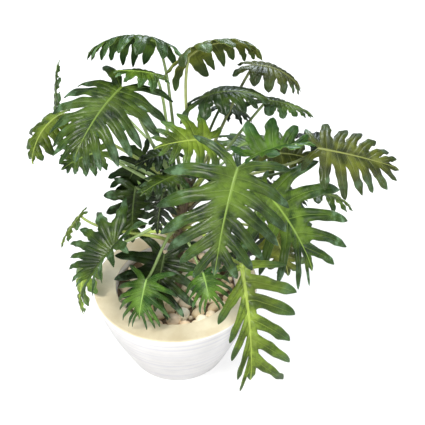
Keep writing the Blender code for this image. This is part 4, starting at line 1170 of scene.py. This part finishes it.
# %% Leaves
def make_leaf(row):
    """One leaf as one piece, standing for its node."""
    points, faces, slots, maps, shade = blade(row)
    stalk_points, stalk_faces, stalk_maps = stalk(row, shade)
    all_points = np.concatenate([points, stalk_points])
    all_faces = np.concatenate([faces, stalk_faces + len(points)])
    all_slots = np.concatenate([slots, np.full(len(stalk_faces), 2)])
    all_maps = {k: np.concatenate([maps[k], stalk_maps[k]]) for k in maps}
    finishes = [*LEAF_FINISH[row["tint"]], STALK_FINISH[row["tint"]]]
    piece = put_mesh("dressed_" + row["name"], all_points, all_faces, finishes, all_slots, all_maps)
    dress(piece, row["name"])
    return piece


leaf_faces = [len(make_leaf(row).data.polygons) for row in LEAVES]
print("leaf faces:", sum(leaf_faces), "largest:", max(leaf_faces))

# %% [markdown]
# ## The trunk
# The stem is woody and brown. Each fallen leaf has left a scar, a raised crescent that runs round about
# half the stem, and the next one stands a golden angle further round. Noise alone would give rough bark
# without that order, so the scars are worked out one by one and added to the radius.

# %% Trunk
TRUNK_ROWS = 150
TRUNK_COLUMNS = 48
SCAR_WIDTH = 0.0024           # thickness of a scar's ridge
SCAR_DIP = 0.006              # how far its ends hang below its middle
BARK_DARK = (0.042, 0.026, 0.015)
BARK_LIGHT = (0.135, 0.092, 0.056)
LICHEN = (0.11, 0.105, 0.055)   # a dull olive film on the bark, in blotches
SCAR_SPAN = 0.4               # its relief dies down from this cosine of the turn off its middle to minus it

material, tree, shader = new_material("bark", roughness=0.85)
fibres = cloud(tree, Size=0.006, Flat=0.25)
blotches = cloud(tree, Size=0.02)
colour = blend_colour(tree, fibres, BARK_DARK, BARK_LIGHT)
set_surface(tree, shader, blend_colour(tree, blotches, colour, LICHEN, most=0.45))
set_bump(tree, shader, fibres, distance=0.0015, strength=0.8)

height = np.linspace(SOIL_FOOT, TRUNK_TOP, TRUNK_ROWS)
angle = ring(TRUNK_COLUMNS)
relief = np.zeros((TRUNK_ROWS, TRUNK_COLUMNS + 1))
scar_heights = np.arange(SCAR_FOOT + SCAR_SPACING / 2, SCAR_TOP, SCAR_SPACING / 2)
for k, scar in enumerate(scar_heights):
    off = np.cos(angle - np.radians(GOLDEN_ANGLE * k))
    ridge = np.exp(-((height[:, None] - scar + SCAR_DIP * (1 - off)) / SCAR_WIDTH) ** 2)
    relief = np.maximum(relief, SCAR_RELIEF * ridge * smooth((off + SCAR_SPAN) / (2 * SCAR_SPAN)))
radius = trunk_radius(height)[:, None] + relief
circle = np.stack([np.cos(angle), np.sin(angle), 0 * angle], axis=-1)
cap_middle = trunk_axis(TRUNK_TOP + TRUNK_CAP)
points = np.concatenate([
    [trunk_axis(SOIL_FOOT) + 0 * circle],
    trunk_axis(height)[:, None] + radius[..., None] * circle,
    [cap_middle + TRUNK_CAP_SHARE * trunk_radius(TRUNK_TOP) * circle],
    [cap_middle + 0 * circle],
])
trunk = put_grid("dressed_trunk", points, material)
dress(trunk, "trunk")
print("trunk faces:", len(trunk.data.polygons), "scars:", len(scar_heights))

# %% [markdown]
# ## The planter
# The bowl is thrown round, so its outline is turned about the middle. Its rim is a broad flat band with
# a crisp edge, cream where the body is nearly white, and fine level streaks run round the body as the
# brush or the wheel left them. Streaks are noise pressed flat: it varies fast up the wall and slowly
# round it. The solid has few rings of vertices, and this one has many, so that its outline is smooth.

# %% Pot
POT_COLUMNS = 128
BAND_TOP = (0.735, 0.655, 0.470)
BAND_SHADE = (0.640, 0.550, 0.365)
BODY_TOP = (0.930, 0.920, 0.915)
BODY_SHADE = (0.860, 0.850, 0.845)
STREAK = (0.640, 0.650, 0.740)
STREAK_RELIEF, GRAIN_RELIEF = 0.6, 0.3
BAND_LOW = POT_HEIGHT - 0.0020   # the cream glaze ends up here, on the rounded edge
BAND_BLUR = 0.0012            # and blends into the white over twice this height
BOWL_RINGS, CAVITY_RINGS, EDGE_RINGS = 48, 20, 9
SHARP_EDGE = 40               # edges that turn more than this stay sharp in the shading


def rounded(centre, size, start, steps):
    """Points of a quarter circle from an angle in degrees, turning left, as (radius, height)."""
    turn = np.radians(start + np.linspace(0, 90, steps))
    return np.stack([centre[0] + size * np.cos(turn), centre[1] + size * np.sin(turn)], axis=1)


def bowl_radius(height):
    """Outer radius of the bowl: it leaves the foot steeply and stands upright at the rim."""
    share = np.clip(height / (POT_HEIGHT - RIM_EDGE), 0, 1)
    return FOOT_RADIUS + (POT_RADIUS - FOOT_RADIUS) * (1 - (1 - share) ** BOWL_ROUND)


def turned(outline, columns):
    """Grid of a closed surface turned about Z from an outline of (radius, height) points."""
    outline = np.array([(0.0, outline[0][1]), *outline, (0.0, outline[-1][1])])
    angle = ring(columns)
    radius, height = outline[:, :1], outline[:, 1:]
    return np.stack([radius * np.cos(angle), radius * np.sin(angle), height + 0 * angle], axis=-1)


material, tree, shader = new_material("pot", roughness=0.42)
_, _, height_up = parts_of(tree, add(tree, "ShaderNodeTexCoord").outputs["Object"])
streaks = cloud(tree, Size=0.35, Flat=55.0, Low=0.42, High=0.68)
thin_streaks = cloud(tree, Size=0.12, Flat=70.0, Low=0.45, High=0.7)
patches = cloud(tree, Size=0.06)
grain = cloud(tree, Size=0.0015)
body = blend_colour(tree, patches, BODY_SHADE, BODY_TOP)
body = blend_colour(tree, streaks, body, STREAK, most=0.50)
body = blend_colour(tree, thin_streaks, body, STREAK, most=0.28)
band = blend_colour(tree, patches, BAND_SHADE, BAND_TOP)
is_band = ease(tree, height_up, BAND_LOW - BAND_BLUR, BAND_LOW + BAND_BLUR)
set_surface(tree, shader, blend_colour(tree, is_band, body, band), grain, roughness=(0.50, 0.64))
relief = maths(tree, "ADD", times(tree, thin_streaks, STREAK_RELIEF), times(tree, grain, GRAIN_RELIEF))
set_bump(tree, shader, relief, distance=0.0005, strength=0.5)

outside_heights = (POT_HEIGHT - RIM_EDGE) * np.linspace(0, 1, BOWL_RINGS)
outside = np.stack([bowl_radius(outside_heights), outside_heights], axis=1)
outer_edge = rounded((POT_RADIUS - RIM_EDGE, POT_HEIGHT - RIM_EDGE), RIM_EDGE, 0, EDGE_RINGS)[1:]
inner_edge = rounded((OPENING + LIP_EDGE, POT_HEIGHT - LIP_EDGE), LIP_EDGE, 90, EDGE_RINGS)
inside_heights = np.linspace(POT_HEIGHT - LIP_EDGE, POT_FLOOR, CAVITY_RINGS)[1:]
inside = np.stack([np.minimum(OPENING, bowl_radius(inside_heights) - POT_WALL), inside_heights], axis=1)
outline = np.concatenate([outside, outer_edge, inner_edge, inside])
pot = put_grid("dressed_pot", turned(outline, POT_COLUMNS), material)
pot.data.set_sharp_from_angle(angle=np.radians(SHARP_EDGE))
dress(pot, "pot")
print("pot faces:", len(pot.data.polygons))

# %% [markdown]
# ## The pebbles
# River pebbles are worn ellipsoids with slightly flattened sides. Each one stands where its solid is,
# from the same seeded draws. Smaller stones fill the gaps between them, and middling ones close the ring
# along the pot's wall. A stone's tone is drawn once and stored on its mesh, so that one is cream and its
# neighbour tan, while the gravel bed under them is painted dark brown as the shadow in the gaps.
# Scattering them in a simulation would look as natural, but then they wouldn't lie where the solids are.

# %% Pebble finish
TONES = [(0.0, (0.88, 0.75, 0.49)), (0.22, (0.92, 0.85, 0.67)), (0.42, (0.84, 0.62, 0.40)),
         (0.62, (0.90, 0.78, 0.55)), (0.80, (0.62, 0.46, 0.25)), (0.94, (0.86, 0.76, 0.58)),
         (1.0, (0.13, 0.085, 0.045))]
STONE_TONES = TONES[-2][0]    # stones are drawn up to here
BED_SHADOW_TONE = 1.0                # and the gravel between them has the last tone, a dark brown that paints the shadow in the gaps
CLOUD_STAIN = (0.50, 0.36, 0.24)
SPECK_STAIN = (0.25, 0.19, 0.13)

pebble_finish, tree, shader = new_material("pebbles", roughness=0.45)
ramp = add(tree, "ShaderNodeValToRGB", {"Fac": own_map(tree, "tone")[0]})
stops = ramp.color_ramp.elements
for position, _ in TONES[1:-1]:
    stops.new(position)
for stop, (position, shade) in zip(stops, TONES):
    stop.position, stop.color = position, (*shade, 1.0)
clouds = cloud(tree, Size=0.012)
specks = cloud(tree, Size=0.0012, Low=0.55, High=0.75)
colour = blend_colour(tree, clouds, ramp.outputs[0], CLOUD_STAIN, most=0.18)
colour = blend_colour(tree, specks, colour, SPECK_STAIN, most=0.15)
set_surface(tree, shader, colour, clouds, roughness=(0.38, 0.58))
set_bump(tree, shader, specks, distance=0.0003, strength=0.5)
print("tones of stone:", len(stops))

# %% Stones
PEBBLE_ROWS, PEBBLE_COLUMNS = 13, 20
DENTS = ((0.05, 2.2, (1.0, 0.7, -0.4)), (0.04, 3.1, (-0.5, 1.0, 0.8)))   # depth, waves and their direction
STONE_SHRINK = 1.06           # keeps a dented stone within its ellipsoid
BED_COLUMNS = 64
SMALL_COUNT = 36
SMALL_SIZES = ((0.007, 0.012), (0.7, 0.9), (0.6, 0.8))   # half length, and width and height against it
SMALL_INNER = 0.020           # nearest that a small stone's centre comes to the trunk, and to the wall
SMALL_OUTER = 0.014
SMALL_LEVEL = 0.002           # how far its centre may be off the top of the bed
WALL_COUNT = 24
WALL_SIZES = ((0.012, 0.016), (0.7, 0.9), (0.6, 0.75))
WALL_GAP = 0.002
WALL_SINK = (0.004, 0.009)    # their tops, below the highest pebble's
WALL_JITTER = 0.25            # of the step from one to the next
LOOKS_SEED = 31


def stone(size):
    """Closed grid of a worn ellipsoid: a sphere of latitude and longitude, dented by slow waves."""
    phases = looks.uniform(0, FULL_TURN, 2)
    level = np.linspace(-np.pi / 2, np.pi / 2, PEBBLE_ROWS)[:, None]
    turn = ring(PEBBLE_COLUMNS)
    across = np.cos(level)
    ball = np.stack([across * np.cos(turn), across * np.sin(turn), np.sin(level) + 0 * turn], axis=-1)
    ball[0], ball[-1] = (0, 0, -1), (0, 0, 1)
    dent = 1.0
    for (depth, waves, way), phase in zip(DENTS, phases):
        dent = dent + depth * np.sin(waves * ball @ way + phase)
    return ball * dent[..., None] * size / STONE_SHRINK


def turned_by(ball, yaw, tilt):
    """A stone tipped about Y, then turned about Z."""
    tip = np.array([[np.cos(tilt), 0, np.sin(tilt)], [0, 1, 0], [-np.sin(tilt), 0, np.cos(tilt)]])
    turn = np.array([[np.cos(yaw), -np.sin(yaw), 0], [np.sin(yaw), np.cos(yaw), 0], [0, 0, 1]])
    return ball @ tip.T @ turn.T


def half_sizes(draw, lengths, widths, heights):
    """Half length, width and height of a stone, the last two drawn against the first."""
    return draw.uniform(*lengths) * np.array([1.0, draw.uniform(*widths), draw.uniform(*heights)])


def lay(ball, around, spread, height):
    """Puts a stone at a place round the trunk, with a tone of its own."""
    stones.append(ball + (spread * np.cos(around), spread * np.sin(around), height))
    stone_tones.append(looks.uniform() * STONE_TONES)


stones, stone_tones = [], []
draw = np.random.default_rng(PEBBLE_SEED)
looks = np.random.default_rng(LOOKS_SEED)
outer = OPENING - PEBBLE_ROOM * PEBBLE_LONG
for k in range(PEBBLE_COUNT):
    spread = np.sqrt(PEBBLE_INNER ** 2 + (outer ** 2 - PEBBLE_INNER ** 2) * (k + 0.5) / PEBBLE_COUNT)
    size = PEBBLE_LONG * half_sizes(draw, PEBBLE_SIZES, PEBBLE_WIDTHS, PEBBLE_HEIGHTS)
    yaw, tilt = draw.uniform(0, np.pi), np.radians(draw.uniform(-PEBBLE_TILT, PEBBLE_TILT))
    ball = turned_by(stone(size), yaw, tilt)
    top = PEBBLE_TOP - draw.uniform(0, PEBBLE_SINK)
    lay(ball, np.radians(GOLDEN_ANGLE * k), spread, top - ball[..., 2].max())
for k in range(SMALL_COUNT):
    spread = np.sqrt(looks.uniform(SMALL_INNER ** 2, (OPENING - SMALL_OUTER) ** 2))
    around = looks.uniform(0, FULL_TURN)
    ball = turned_by(stone(half_sizes(looks, *SMALL_SIZES)), looks.uniform(0, np.pi), 0.0)
    lay(ball, around, spread, SOIL_TOP + BED_THICKNESS + looks.uniform(-SMALL_LEVEL, SMALL_LEVEL))
for k in range(WALL_COUNT):
    around = FULL_TURN * (k + looks.uniform(-WALL_JITTER, WALL_JITTER)) / WALL_COUNT
    size = half_sizes(looks, *WALL_SIZES)
    ball = turned_by(stone(size), looks.uniform(0, np.pi), 0.0)
    top = PEBBLE_TOP - looks.uniform(*WALL_SINK)
    lay(ball, around, OPENING - size[0] - WALL_GAP, top - ball[..., 2].max())
print("stones:", len(stones))

# %% Pebbles
bed_outline = [(OPENING - GAP, SOIL_TOP + GAP), (OPENING - GAP, SOIL_TOP + GAP + BED_THICKNESS)]
points, grid, tones = [], [], []
for piece, tone in [*zip(stones, stone_tones), (turned(bed_outline, BED_COLUMNS), BED_SHADOW_TONE)]:
    grid.append(grid_faces(*piece.shape[:2]) + sum(len(p) for p in points))
    points.append(piece.reshape(-1, 3))
    tones.append(np.full((len(points[-1]), 2), tone))
points, grid, tones = (np.concatenate(parts) for parts in (points, grid, tones))
first, faces, grid = weld(points, grid)
pebbles = put_mesh("dressed_pebbles", points[first], faces, [pebble_finish],
                   maps={"tone": corner_values(faces, tones[grid])})
dress(pebbles, "pebbles")
print("pebble faces:", len(pebbles.data.polygons))

# %% [markdown]
# ## The soil
# The potting mix is hidden under the pebbles. Its solid already has the right shape, so it stays and
# only gets a finish: dark, damp crumbs.

# %% Soil
SOIL_DARK = (0.020, 0.014, 0.010)
SOIL_LIGHT = (0.110, 0.078, 0.052)

material, tree, shader = new_material("soil", roughness=0.95)
crumbs = cloud(tree, Size=0.004)
set_surface(tree, shader, blend_colour(tree, crumbs, SOIL_DARK, SOIL_LIGHT))
set_bump(tree, shader, crumbs, distance=0.002, strength=0.9)
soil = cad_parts["soil"]
soil.data.materials.clear()
soil.data.materials.append(material)
print("soil dressed")

# %% [markdown]
# ## The floor
# A plain pale floor, which isn't part of the plant. It is broad enough to fill the view from any side. A
# white floor would throw so much light up that the hollow of the plant went pale, so the floor itself
# is grey, and a glow that only the camera sees, through the Light Path node, makes it look white.

# %% Floor
FLOOR_HALF = 6.0
FLOOR_DROP = 0.0005           # how far it lies below the pot's foot
FLOOR_GREY = 0.42
FLOOR_GLOW = 0.62

sides = ((-1, -1), (1, -1), (1, 1), (-1, 1))
corners = np.array([(right * FLOOR_HALF, back * FLOOR_HALF, -FLOOR_DROP) for right, back in sides])
material, tree, shader = new_material("floor", roughness=0.9, shine=0.1)
shader.inputs["Base Color"].default_value = (FLOOR_GREY, FLOOR_GREY, FLOOR_GREY, 1.0)
shader.inputs["Emission Color"].default_value = (1.0, 1.0, 1.0, 1.0)
seen = add(tree, "ShaderNodeLightPath").outputs["Is Camera Ray"]
tree.links.new(times(tree, seen, FLOOR_GLOW), shader.inputs["Emission Strength"])
floor = put_mesh("floor", corners, np.array([[0, 1, 2, 3]]), [material])
print("floor:", 2 * FLOOR_HALF, "m wide")
